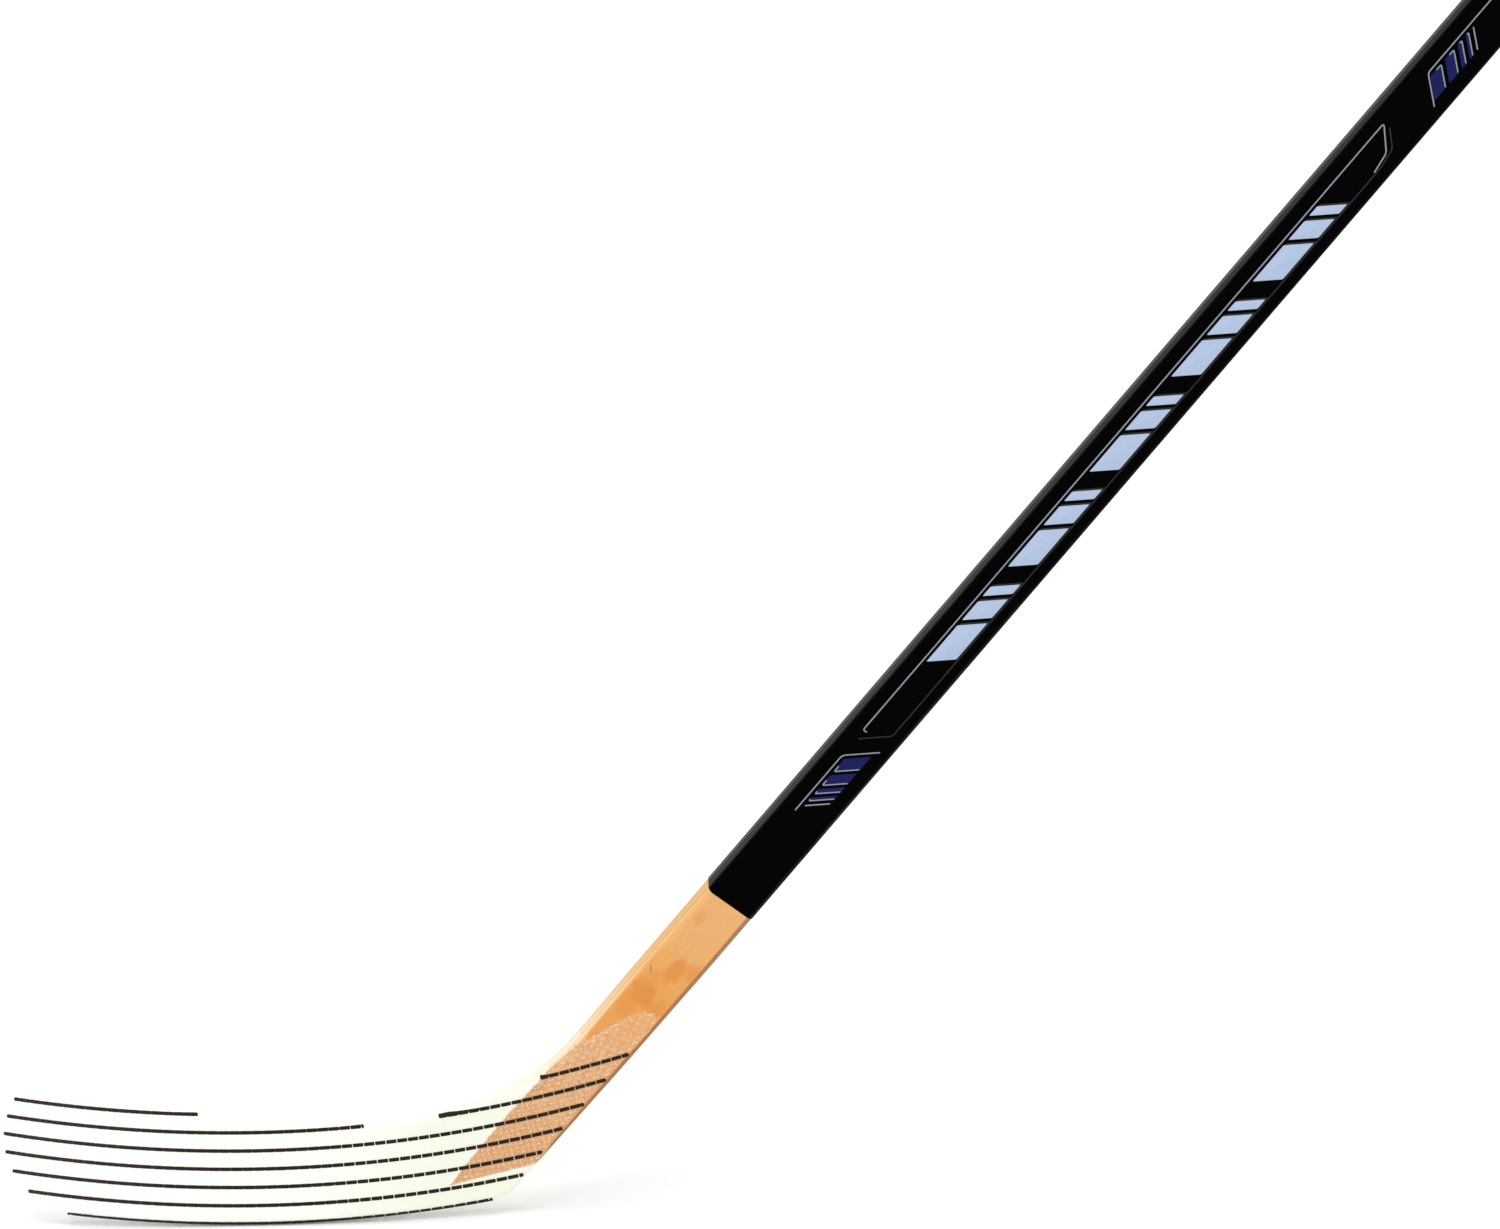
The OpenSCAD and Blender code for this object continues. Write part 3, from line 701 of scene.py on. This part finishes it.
def ink(name, colour, faded, metallic=0.0, rough=(0.4, 0.6)):
    """Screen-printed ink with a fine grain and thin spots."""
    paint = Paint(name, Specular_IOR_Level=0.1, Metallic=metallic)
    place = paint.shaft_space()
    grain = paint.noise(place, (2.4, 2.4, 2.4), 2, 0.5)
    cloud = paint.noise(place, (0.05, 0.2, 0.2), 3, 0.6)
    thin = paint.times(cloud, 0.5)
    mixed = paint.fit(paint.step(grain, 0.45, 0.7), 0.4, thin)
    paint.colour(paint.mix(mixed, colour, faded))
    paint.rough(cloud, *rough)
    paint.bump(grain, 0.02)
    return paint.material


def floor_white():
    paint = Paint("studio_floor", Specular_IOR_Level=0.0)
    place = paint.stick_space()
    cloud = paint.noise(place, (0.002, 0.002, 0.002), 2)
    paint.colour(paint.mix(cloud, srgb(246, 246, 246), srgb(250, 250, 250)))
    paint.shader.inputs["Roughness"].default_value = 0.9
    return paint.material


# ---- The blade's moulding ----

def body_loop():
    """The moulding's outline, less the room that the two cheeks take."""
    def room(s):
        return cheek_edge(s) + GLUE

    arcs = []
    for p in blade_arcs(SEAM_PROUD):
        s, w = shaft_place(p).real, shaft_place(p).imag
        if w > room(s) + 0.02 or s < HEEL_S + 1:
            arcs.append(p)
    high_s = cheek_end(WOOD_HALF_WIDTH)
    for _ in range(20):
        high_s = cheek_end(room(high_s))
    low = on_shaft(cheek_end(low_edge(HEEL_S)), low_edge(cheek_end(low_edge(HEEL_S))) + SEAM_PROUD)
    high = on_shaft(high_s, room(high_s))
    tip_s = shaft_place(arcs[-1]).real + 0.3
    flank = [on_shaft(s, room(s)) for s in np.arange(tip_s, high_s + 1, -2.0)]
    return line(low, arcs[0]) + arcs + flank + line(high, low)


def blade_moulding(material):
    loop = body_loop()
    depths = (0.06, 0.2, 0.45, 0.8, 1.25, 1.8, RIM_ROUND, 3.3)
    near = [p for depth in depths for p in blade_arcs(SEAM_PROUD + depth)]
    near += [on_shaft(s, low_edge(s) + SEAM_PROUD + depth) for depth in depths
             for s in np.arange(HEEL_S, cheek_end(-WOOD_HALF_WIDTH), 1.5)]
    places, faces = fill(loop, near, 4.0, 2.6)
    half = half_at(places.real) - rim_drop(distance(RIM, places))
    middle = bend(places.real)
    thin_band = ((0.5 - SEAM_WIDTH / 2, 0.0), (0.5, SEAM_PROUD - 0.01), (0.5 + SEAM_WIDTH / 2, 0.0))
    shape = Shape()
    add_sheet(shape, places, faces, middle - half, middle + half, thin_band)
    make_piece("blade_moulding", shape, material, "abs_white", ["blade_core"])


def blade_tongue(material):
    """The moulding's tongue, which the two cheeks hold between them."""
    foot_s = cheek_end(-WOOD_HALF_WIDTH)
    low = on_shaft(foot_s, low_edge(foot_s))
    top_low, top_high = on_shaft(TONGUE_TOP, low_edge(TONGUE_TOP)), on_shaft(TONGUE_TOP, WOOD_HALF_WIDTH)
    first_s = cheek_end(WOOD_HALF_WIDTH + CHEEK_FLARE / 2)
    side = [on_shaft(s, min(throat_edge(s), cheek_edge(s)))
            for s in np.linspace(TONGUE_TOP, first_s, 60)]
    loop = line(low, top_low) + line(top_low, top_high) + side + line(side[-1], low)[1:]
    loop = loop[::-1] if signed_area(loop) < 0 else loop
    places, faces = fill(loop, loop, 4.0, 1.5)
    half = np.full(len(places), TONGUE_HALF - GLUE)
    shape = Shape()
    add_sheet(shape, places, faces, -half, half, ((0.5, 0.0),))
    make_piece("blade_tongue", shape, material, "abs_white", ["blade_core"])


def signed_area(loop):
    return sum((a.conjugate() * b).imag for a, b in zip(loop, loop[1:] + loop[:1])) / 2


# ---- The shaft's wood ----

def taper_crossing(depth, w):
    """Where the taper's surface comes down to a depth in the shaft, at w."""
    xs = np.linspace(TAPER_START, TAPER_END, 400)
    x = np.interp(depth, half_at(xs), xs)
    return (x - FOOT_X + w * sin(LIE)) / cos(LIE)


def wood_edge(s, y, upper):
    """Where the wood's upper or lower side lies across the shaft, at a depth y in it."""
    edge = throat_edge(s) if upper else low_edge(s)
    half = half_at(FOOT_X + s * cos(LIE) - edge * sin(LIE))
    corner = rim_drop(WOOD_HALF - abs(y), CORNER_RADIUS - FILM_THICK)
    drop = max(corner, rim_drop(half - abs(y)))
    return float(min(edge - drop, cheek_edge(s)) if upper else edge + drop)


def layer_ring(starts, t, tail, inner, outer, sink, across, inset):
    """One ring round a layer. Its places along the shaft start at the layer's ragged lower
    end and are square across from tail on."""
    ring = []
    for face, share in across:
        guess = WOOD_HALF_WIDTH * share
        s = starts(guess) * (1 - t) + tail * t if t <= 1 else tail + t
        top = float(half_at(FOOT_X + s * cos(LIE) - guess * sin(LIE))) - sink
        high = min(outer, top)
        low = min(inner, high - SLIT)
        y = low + (high - low) * face
        middle = (wood_edge(s, y, True) + wood_edge(s, y, False)) / 2
        reach = (wood_edge(s, y, True) - wood_edge(s, y, False)) / 2 - inset
        place = on_shaft(s, middle + share * reach)
        ring.append((place.real, y, place.imag))
    return ring


def wood_layer(name, node, side, inner, outer, sink, inset, material, slot, start=None):
    """One layer of the shaft, feathered out by the heel's taper."""
    seed = outer + 20 * side

    def starts(w):
        ragged = 2.5 * wobble(w, seed, 4.0) + 1.2 * wobble(w, seed, 1.3)
        feather = taper_crossing(inner + 0.05, w) + ragged if inner > TONGUE_HALF else 0
        return start if start is not None else max(cheek_end(w), feather)

    across = [(0, w) for w in np.linspace(-1, 1, 17)]
    across += [(f, 1) for f in (0.2, 0.4, 0.6, 0.8)]
    across += [(1, w) for w in np.linspace(1, -1, 17)]
    across += [(f, -1) for f in (0.8, 0.6, 0.4, 0.2)]
    tail = FILM_START - 8
    rings = [layer_ring(starts, t, tail, inner, outer, sink, across, inset)
             for t in np.linspace(0, 1, 48)]
    length = BUTT - tail
    straight = [(s, 0) for s in (14, 30, 200, 600, length - 2)]
    for s, chamfer in straight + [(length - 0.6, 0.05), (length - 0.15, 0.25), (length, BUTT_CHAMFER)]:
        rings.append(layer_ring(starts, s, tail, inner, outer, sink, across, inset + chamfer))
    turned = [[(x, y * (side or 1), z) for x, y, z in ring] for ring in rings]
    if side >= 0:
        turned = [ring[::-1] for ring in turned]
    shape = Shape()
    shape.loft(turned)
    make_piece(name, shape, material, slot, [node])


def shaft_wood():
    """The five plies, the two veneers and the two glass strips."""
    tones = (0, 12, 4, 10, 2)
    for i, tone in enumerate(tones, 1):
        step = abs(i - 3)
        inner = TONGUE_HALF + (step - 1) * SIDE_PLY if step else -TONGUE_HALF
        outer = TONGUE_HALF + step * SIDE_PLY if step else TONGUE_HALF
        side = (i > 3) - (i < 3)
        wood_layer(f"core_ply_wood_{i}", f"core_ply_{i}", side, inner, outer, 0.06, 0.02 + 0.03 * (i % 2),
                   aspen_wood(f"aspen_{i}", tone), "aspen", None if step else TONGUE_TOP + GLUE)
    birch, faced = faced_wood("birch_veneer"), faced_wood("glass_over_wood")
    for label, side in SIDES.items():
        wood_layer(f"{label}_veneer_wood", f"{label}_face_veneer", side, VENEER_IN, GLASS_IN, 0.03, 0.0,
                   birch, "birch")
        wood_layer(f"{label}_faced_wood", f"{label}_glass_strip", side, GLASS_IN, WOOD_HALF, 0.0, 0.03,
                   faced, "glass_strip")


# ---- The shaft's film ----

def bar_section(half_w, half_t, radius, corner_steps=12):
    """Points round a rounded bar, as y + wj, with the plies showing through its narrow faces."""
    points = []
    turns = ((1, 1, 0), (-1, 1, pi / 2), (-1, -1, pi), (1, -1, 1.5 * pi))
    for side_y, side_w, start in turns:
        centre = complex(side_y * (half_t - radius), side_w * (half_w - radius))
        points += [centre + radius * unit(start + pi / 2 * i / corner_steps)
                   for i in range(corner_steps + 1)]
        if side_y * side_w > 0:
            run = np.linspace(1, -1, 26)[1:-1] * side_y * (half_t - radius)
            points += [complex(y, side_w * (half_w - ply_mark(y))) for y in run]
    return points


def ply_mark(y):
    """How far the film dips where it lies over a glue line."""
    glue_lines = (TONGUE_HALF, TONGUE_HALF + SIDE_PLY)
    return PLY_DIP * sum(np.exp(-((abs(y) - glue_y) / PLY_DIP_HALF) ** 2) for glue_y in glue_lines)


def film_ring(s, half_w, half_t, radius, border=0.0):
    ring = []
    for p in bar_section(half_w, half_t, radius):
        place = on_shaft(s + border * wobble(p.real, p.imag, 6.0, 3.0), p.imag)
        ring.append((place.real, p.real, place.imag))
    return ring


def film_sleeve(material):
    """The printed film, wrapped round the shaft from above the heel to the butt."""
    outer_w, outer_t = HALF_WIDTH - 0.01, HALF_THICK - INK_RISE
    inner_w, inner_t = WOOD_HALF_WIDTH + 0.03, WOOD_HALF + 0.03
    rings = [film_ring(FILM_START, inner_w, inner_t, CORNER_RADIUS - 0.2, 0.3),
             film_ring(FILM_START, outer_w - 0.06, outer_t - 0.06, CORNER_RADIUS, 0.3),
             film_ring(FILM_START + 0.12, outer_w - 0.01, outer_t - 0.01, CORNER_RADIUS, 0.3),
             film_ring(FILM_START + 0.6, outer_w, outer_t, CORNER_RADIUS, 0.2)]
    for s in np.arange(FILM_START + 6, BUTT - 4, 24):
        rings.append(film_ring(s, outer_w, outer_t, CORNER_RADIUS))
    rings += [film_ring(BUTT - 1, outer_w, outer_t, CORNER_RADIUS),
              film_ring(BUTT - 0.2, outer_w - 0.03, outer_t - 0.03, CORNER_RADIUS),
              film_ring(BUTT, outer_w - 0.1, outer_t - 0.1, CORNER_RADIUS),
              film_ring(BUTT, inner_w - 0.02, inner_t - 0.02, CORNER_RADIUS - 0.2),
              film_ring(BUTT - 1, inner_w, inner_t, CORNER_RADIUS - 0.2)]
    shape = Shape()
    shape.loft(rings, wrap=True)
    make_piece("film_sleeve", shape, material, "film_black", ["shaft_film"], sharp=25)


# ---- The printed design, drawn on the shaft's wide faces as s + wj ----

def span_before(widths, gap, k):
    return sum(widths[:k]) + k * gap


def slanted_bar(s, width, reach, lean):
    shift = lean * tan(SLANT) * reach
    return [complex(s - shift, reach), complex(s + width - shift, reach),
            complex(s + width + shift, -reach), complex(s + shift, -reach)]


def rounded(points, radius, closed=True):
    """The same corners, each turned into a short curve."""
    count = len(points)
    result = []
    for i, p in enumerate(points):
        if not closed and i in (0, count - 1):
            result.append(p)
            continue
        before, after = points[i - 1], points[(i + 1) % count]
        trim = min(radius, 0.45 * abs(before - p), 0.45 * abs(after - p))
        a = p + trim * (before - p) / abs(before - p)
        b = p + trim * (after - p) / abs(after - p)
        result += [a * (1 - t) ** 2 + 2 * p * t * (1 - t) + b * t * t for t in (0, 0.25, 0.5, 0.75, 1)]
    return result


def print_point(p, side, height):
    place = on_shaft(p.real, p.imag)
    return (place.real, side * (HALF_THICK - INK_RISE + height), place.imag)


def add_patch(shape, outline, side, height=INK_RISE):
    """A thin patch of ink with a softened edge."""
    middle = sum(outline) / len(outline)
    levels = ((0.0, -0.05), (0.0, height * 0.6), (0.05, height))
    rings = []
    for inset, level in levels:
        drawn = [p + inset * (middle - p) / abs(middle - p) for p in outline]
        rings.append([print_point(p, side, level) for p in drawn])
    shape.loft([ring[::side * turn_of(outline)] for ring in rings])


def turn_of(outline):
    """1 for an outline drawn clockwise and -1 for the other way."""
    return -1 if signed_area(outline) > 0 else 1


def add_stroke(shape, points, side, radius=2.0, width=LINE_WIDTH, height=INK_RISE):
    """A printed line through some points, with rounded bends."""
    path = rounded(points, radius, closed=False)
    rings = []
    for i, p in enumerate(path):
        run = path[min(i + 1, len(path) - 1)] - path[max(i - 1, 0)]
        aside = run / abs(run) * 1j * width / 2
        section = ((1, -0.05), (1, height * 0.6), (0.8, height),
                   (-0.8, height), (-1, height * 0.6), (-1, -0.05))
        rings.append([print_point(p + aside * share, side, level) for share, level in section])
    shape.loft([ring[::side] for ring in rings])


def emblem_bars():
    """Each emblem bar's start, width, emblem height and the way its bars get finer."""
    for start, run, gap in ((LOW_EMBLEM, -1, LOW_GAP), (HIGH_EMBLEM, 1, HIGH_GAP)):
        for k, width in enumerate(BAR_WIDTHS):
            near = start + run * span_before(BAR_WIDTHS, gap, k)
            yield min(near, near + run * width), width, run, k == len(BAR_WIDTHS) - 1


def blue_bars(side):
    shape = Shape()
    for s, width, run, last in emblem_bars():
        if not last:
            add_patch(shape, rounded(slanted_bar(s, width, BAR_REACH, -run), 0.8), side, INK_RISE * 0.7)
    return shape


def silver_lines(side):
    shape = Shape()
    inset = LINE_WIDTH / 2
    for s, width, run, last in emblem_bars():
        bar = slanted_bar(s, width, BAR_REACH - inset, -run)
        top, bottom = (bar[1], bar[2]) if run > 0 else (bar[0], bar[3])
        hook = [] if last else [top - run * min(HOOK_SHARE * width, HOOK_LIMIT)]
        add_stroke(shape, [*hook, top, bottom], side, 0.9)
    slanted = 2 * BRACKET_REACH * LEAN
    low = LOW_EMBLEM - BAR_REACH * LEAN + BRACKET_GAP
    add_stroke(shape, [complex(low - LOW_LEG, BRACKET_REACH), complex(low, BRACKET_REACH),
                       complex(low + slanted, -BRACKET_REACH)], side)
    high = HIGH_EMBLEM + BAR_REACH * LEAN + BRACKET_GAP
    add_stroke(shape, [complex(high - slanted, -BRACKET_REACH), complex(high, BRACKET_REACH),
                       complex(high + HIGH_LEG, BRACKET_REACH)], side)
    notch = PANEL_HIGH - PANEL_NOTCH
    add_stroke(shape, [complex(PANEL_LOW, PANEL_REACH - PANEL_DROP), complex(PANEL_LOW, PANEL_REACH),
                       complex(PANEL_HIGH + PANEL_NOSE, PANEL_REACH), complex(notch, -PANEL_REACH / 2),
                       complex(notch - PANEL_HOOK, -PANEL_REACH * 0.75)], side)
    return shape


def block_outlines():
    for g in range(GROUPS):
        for k, width in enumerate(BLOCK_WIDTHS):
            s = GROUP_START + g * GROUP_PITCH + span_before(BLOCK_WIDTHS, BLOCK_GAP, k)
            yield slanted_bar(s, width, BLOCK_REACH, 1)


def pale_blocks(side):
    shape = Shape()
    for outline in block_outlines():
        add_patch(shape, rounded(outline, 0.7), side)
    return shape


def grey_lines(side):
    """The shade beside each block, and the long panel's shaded line."""
    shape = Shape()
    for _, top_right, low_right, low_left in block_outlines():
        beside = top_right + SHADE_SHIFT.imag * (1j - LEAN)
        add_patch(shape, [beside, top_right + SHADE_SHIFT, low_right + SHADE_SHIFT,
                          low_left + SHADE_SHIFT, low_left + SHADE_SHIFT.real, low_right],
                  side, INK_RISE * 0.5)
    inner, lead = PANEL_REACH - GREY_INSET, PANEL_LOW - GREY_LEAD
    add_stroke(shape, [complex(lead, inner), complex(lead + 2 * inner * LEAN, -inner),
                       complex(PANEL_HIGH - PANEL_HOOK, -inner),
                       complex(PANEL_HIGH - GREY_INSET, -PANEL_REACH / 2 - GREY_INSET),
                       complex(PANEL_HIGH + PANEL_NOSE, PANEL_REACH / 2)], side, height=INK_RISE * 0.5)
    return shape


def printed_design():
    inks = (
        ("pale_blocks", pale_blocks, ink("ink_pale", srgb(180, 196, 222), srgb(160, 178, 208)), "ink_pale"),
        ("blue_bars", blue_bars, ink("ink_blue", srgb(20, 24, 92), srgb(14, 16, 72)), "ink_blue"),
        ("silver_lines", silver_lines,
         ink("ink_silver", srgb(156, 162, 174), srgb(116, 122, 136), 0.3), "ink_silver"),
        ("grey_lines", grey_lines, ink("ink_grey", srgb(46, 44, 44), srgb(32, 32, 34)), "ink_grey"),
    )
    for name, build, material, slot in inks:
        for label, side in SIDES.items():
            shape = build(side)
            make_piece(f"{label}_{name}_print", shape, material, slot, [f"{label}_{name}"])


# ---- The glass cloth ----

def cloth_end(w):
    """Where the cloth ends on the shaft: later towards the lower edge."""
    share = np.clip((CLOTH_END_TOP - w) / CLOTH_END_SPAN, 0, 1)
    return CLOTH_END_HIGH + (CLOTH_END_LOW - CLOTH_END_HIGH) * (1 - (1 - share) ** CLOTH_END_BEND)


def cloth_loop(side, trim=0.0):
    """The cloth's edge, with trim cut off all round. It is ragged on the wood."""
    high_w = WOOD_HALF_WIDTH - CLOTH_MARGIN - trim - 0.6
    last_w = low_edge(160) + CLOTH_EDGE_ON_WOOD + trim
    points = []
    for s in np.arange(cloth_end(last_w) - trim, HEEL_S, -1.2):
        on_wood = float(smooth((s - 50) / 25))
        wider = CLOTH_EDGE_ON_WOOD - CLOTH_MARGIN + 0.25 * wobble(s, side, 2.0, 7.0)
        inset = CLOTH_MARGIN + wider * on_wood
        points.append(on_shaft(s, low_edge(s) + trim + inset))
    points += [p for p in blade_arcs(CLOTH_MARGIN + trim)
               if shaft_place(p).real < THROAT_S - 3 or shaft_place(p).imag > high_w + 3]
    points += [on_shaft(s, high_w + 0.6) for s in np.arange(THROAT_S, cloth_end(high_w) - trim, 2.0)]
    for w in np.arange(high_w, last_w, -0.5):
        ragged = 2.6 * wobble(w, side, 2.6, 5.0) + 2.2 * wobble(w, side, 0.8, 6.0)
        points.append(on_shaft(cloth_end(w) - trim + ragged, w))
    return points


def cloth_skin(label, side, material):
    loop = cloth_loop(side)
    loop = loop[::-1] if signed_area(loop) < 0 else loop
    near = [p for trim in (0.25, 0.5, 0.9, 1.5) for p in cloth_loop(side, trim)]
    places, faces = fill(loop, near, 1.6, 2.0)
    edge = smooth(distance(loop, places) / SKIN_FEATHER)
    uneven = np.array([0.03 * wobble(p.real, p.imag, 5.0, side) for p in places])
    outer = surface_y(side, places, (SKIN_THICK + uneven) * edge + 0.02)
    inner = surface_y(side, places, -SKIN_SINK)
    shape = Shape()
    low, high = (outer, inner) if side < 0 else (inner, outer)
    add_sheet(shape, places, faces, low, high)
    make_piece(f"{label}_cloth_skin", shape, material, "glass_cloth", [f"{label}_glass_cloth"])


# ---- Yarns: warps run along the blade, and wefts cross them ----

SECTION = [unit(radians(a)) for a in (0, 45, 90, 135, 180, 270)]


def sole_line(x):
    """Height of the line that every warp is parallel to."""
    return x * x / (2 * ROCKER) + YARN_LIFT * np.maximum(0, x - YARN_LIFT_X) ** 2


def sole_slope(x):
    return x / ROCKER + 2 * YARN_LIFT * np.maximum(0, x - YARN_LIFT_X)


def add_yarn(shape, side, places, height, width, thick):
    """One flat yarn on a face of the blade: its middle, its height, and its width."""
    run = np.gradient(places)
    aside = run / abs(run) * 1j
    ends = np.minimum(np.arange(len(places)), np.arange(len(places))[::-1])
    taper = np.sqrt(np.clip((ends + 0.4) / 2.4, 0, 1))
    columns = []
    for turn in SECTION:
        spot_at = places + aside * turn.real * width * taper / 2
        y = surface_y(side, spot_at, height + turn.imag * thick * taper / 2)
        columns.append(np.stack([spot_at.real, y, spot_at.imag], 1))
    rings = np.stack(columns, 1)
    rings = rings if side < 0 else rings[:, ::-1]
    shape.loft([[tuple(p) for p in ring] for ring in rings])


def add_runs(shape, side, kept, places, height, width, thick):
    """The stretches of a yarn whose places are kept."""
    edges = np.flatnonzero(np.diff(np.concatenate([[False], kept, [False]]).astype(int)))
    for first, last in zip(edges[::2], edges[1::2]):
        if last - first > SHORTEST_RUN:
            part = slice(first, last)
            add_yarn(shape, side, places[part], height[part], width[part], thick)


def crown(x):
    """How much the weave stands out: less towards the toe, where resin fills it."""
    return 0.35 + 0.65 * smooth((x + 40) / 120)


def weft_count(x):
    """How many wefts have been passed at x, as a number that grows by 1 at each."""
    return x / WEFT_PITCH


def cloth_weave(label, side, material):
    """The cloth's glass yarns. Their crowns stand out of the resin."""
    loop = cloth_loop(side, 0.9)
    shape = Shape()
    warp_pitch = YARN_PITCH / WARPS_PER_TRACER
    xs = np.arange(-TOE_REACH, TAPER_END, WEFT_PITCH / 4)
    top = SKIN_THICK + CROWN_PROUD - GLASS_YARN_THICK / 2
    for j in range(1, WARPS + 1):
        if j % WARPS_PER_TRACER:
            places = xs + 1j * (YARN_FIRST + j * warp_pitch + sole_line(xs))
            wave = np.cos(pi * (weft_count(xs + (places.imag - sole_line(xs)) * sole_slope(xs)) + j))
            height = top - WEAVE_WAVE * (1 - wave) - WEAVE_SINK * (1 - crown(xs))
            add_runs(shape, side, inside(loop, places), places, height,
                     np.full(len(xs), GLASS_YARN_WIDTH), GLASS_YARN_THICK)
    vs = np.arange(0, YARN_REACH, warp_pitch / 4)
    for k in range(int(-TOE_REACH / WEFT_PITCH), int((TAPER_END + 20) / WEFT_PITCH)):
        x0 = k * WEFT_PITCH
        slope = sole_slope(x0)
        xs_k = x0 - slope * vs
        places = xs_k + 1j * (YARN_FIRST + vs + sole_line(xs_k))
        wave = -np.cos(pi * (vs / warp_pitch + k))
        height = top - WEAVE_WAVE * (1 - wave) - WEAVE_SINK * (1 - crown(xs_k))
        add_runs(shape, side, inside(loop, places), places, height,
                 np.full(len(vs), GLASS_YARN_WIDTH * WEFT_SHARE), GLASS_YARN_THICK)
    make_piece(f"{label}_cloth_weave", shape, material, "glass_cloth")


def tracer_yarns(label, side, material):
    """The black yarns. Every second weft crosses over each of them. Those on the front run
    nearer to the edge above the throat, and the lowest follows the sole closely."""
    close, clear = cloth_loop(side, CLOSE_TRIM), cloth_loop(side, TRACER_TRIM)
    shape = Shape()
    top = CLOTH_THICK + YARN_PROUD - TRACER_THICK / 2
    for i in range(YARNS):
        xs = np.arange(-TOE_REACH, TAPER_END if i else LOW_TRACER_END, TRACER_STEP)
        places = xs + 1j * (YARN_FIRST + i * YARN_PITCH + sole_line(xs))
        passed = weft_count(xs + i * YARN_PITCH * sole_slope(xs)) + i * WARPS_PER_TRACER
        off = np.abs((passed / 2) % 1 - 0.5) * 2 * WEFT_PITCH
        dip = np.exp(-(off / DIP_HALF) ** 4)
        deep = DIP_TOE + DIP_HEEL * smooth((xs + 20) / 110)
        height = top - deep * dip
        width = TRACER_WIDTH * (1 - DIP_NARROWS * dip)
        by_throat = (places.real > THROAT_X) & (places.imag > THROAT_Z) & (side < 0)
        kept = inside(close, places) & (by_throat | (i == 0) | inside(clear, places))
        add_runs(shape, side, kept, places, height, width, TRACER_THICK)
    make_piece(f"{label}_tracers", shape, material, "tracer_black", [f"{label}_tracer_yarns"])


# ---- Stage, light and camera ----

def floor():
    far = FLOOR_REACH
    mesh = bpy.data.meshes.new("floor")
    mesh.from_pydata([(-far, -far, 0), (far, -far, 0), (far, far, 0), (-far, far, 0)], [], [(0, 1, 2, 3)])
    mesh.materials.append(floor_white())
    made = bpy.data.objects.new("floor", mesh)
    bpy.context.scene.collection.objects.link(made)


def soft_light(name, direction, strength, spread):
    """Even light from far away, which falls along direction."""
    lamp = bpy.data.lights.new(name, "SUN")
    lamp.energy = strength
    lamp.angle = radians(spread)
    made = bpy.data.objects.new(name, lamp)
    made.rotation_euler = Vector(direction).to_track_quat("-Z", "Y").to_euler()
    bpy.context.scene.collection.objects.link(made)


def studio():
    floor()
    world = bpy.data.worlds.new("studio")
    world.use_nodes = True
    world.node_tree.nodes["Background"].inputs["Color"].default_value = (1, 1, 1, 1)
    world.node_tree.nodes["Background"].inputs["Strength"].default_value = WORLD_STRENGTH
    bpy.context.scene.world = world
    soft_light("overhead", (0.05, 0.12, -1), 1.25, 40)
    soft_light("key", (0.55, 0.75, -0.5), 0.25, 50)
    bpy.context.scene.view_settings.view_transform = "Standard"


def camera():
    """A far camera in front of the stick, looking down on it and rolled a little."""
    data = bpy.data.cameras.new("camera")
    data.sensor_width = SENSOR
    data.lens = SENSOR * CAMERA_AWAY / (PICTURE_SCALE * MM * PICTURE_WIDTH)
    data.clip_end = FAR_CLIP
    made = bpy.data.objects.new("camera", data)
    back = Vector((0, -cos(CAMERA_HEIGHT), sin(CAMERA_HEIGHT)))
    turn = back.to_track_quat("Z", "Y").to_matrix() @ Matrix.Rotation(-CAMERA_ROLL, 3, "Z")
    made.matrix_world = Matrix.Translation(Vector(CAMERA_AIM) + CAMERA_AWAY * back) @ turn.to_4x4()
    bpy.context.scene.collection.objects.link(made)
    bpy.context.scene.camera = made


camera()
studio()
plastic, resin, yarn_glass, tracer = moulded_plastic(), cloth_resin(), glass_yarn(), tracer_black()
blade_moulding(plastic)
blade_tongue(plastic)
shaft_wood()
film_sleeve(black_film())
printed_design()
for label, side in SIDES.items():
    cloth_skin(label, side, resin)
    cloth_weave(label, side, yarn_glass)
    tracer_yarns(label, side, tracer)
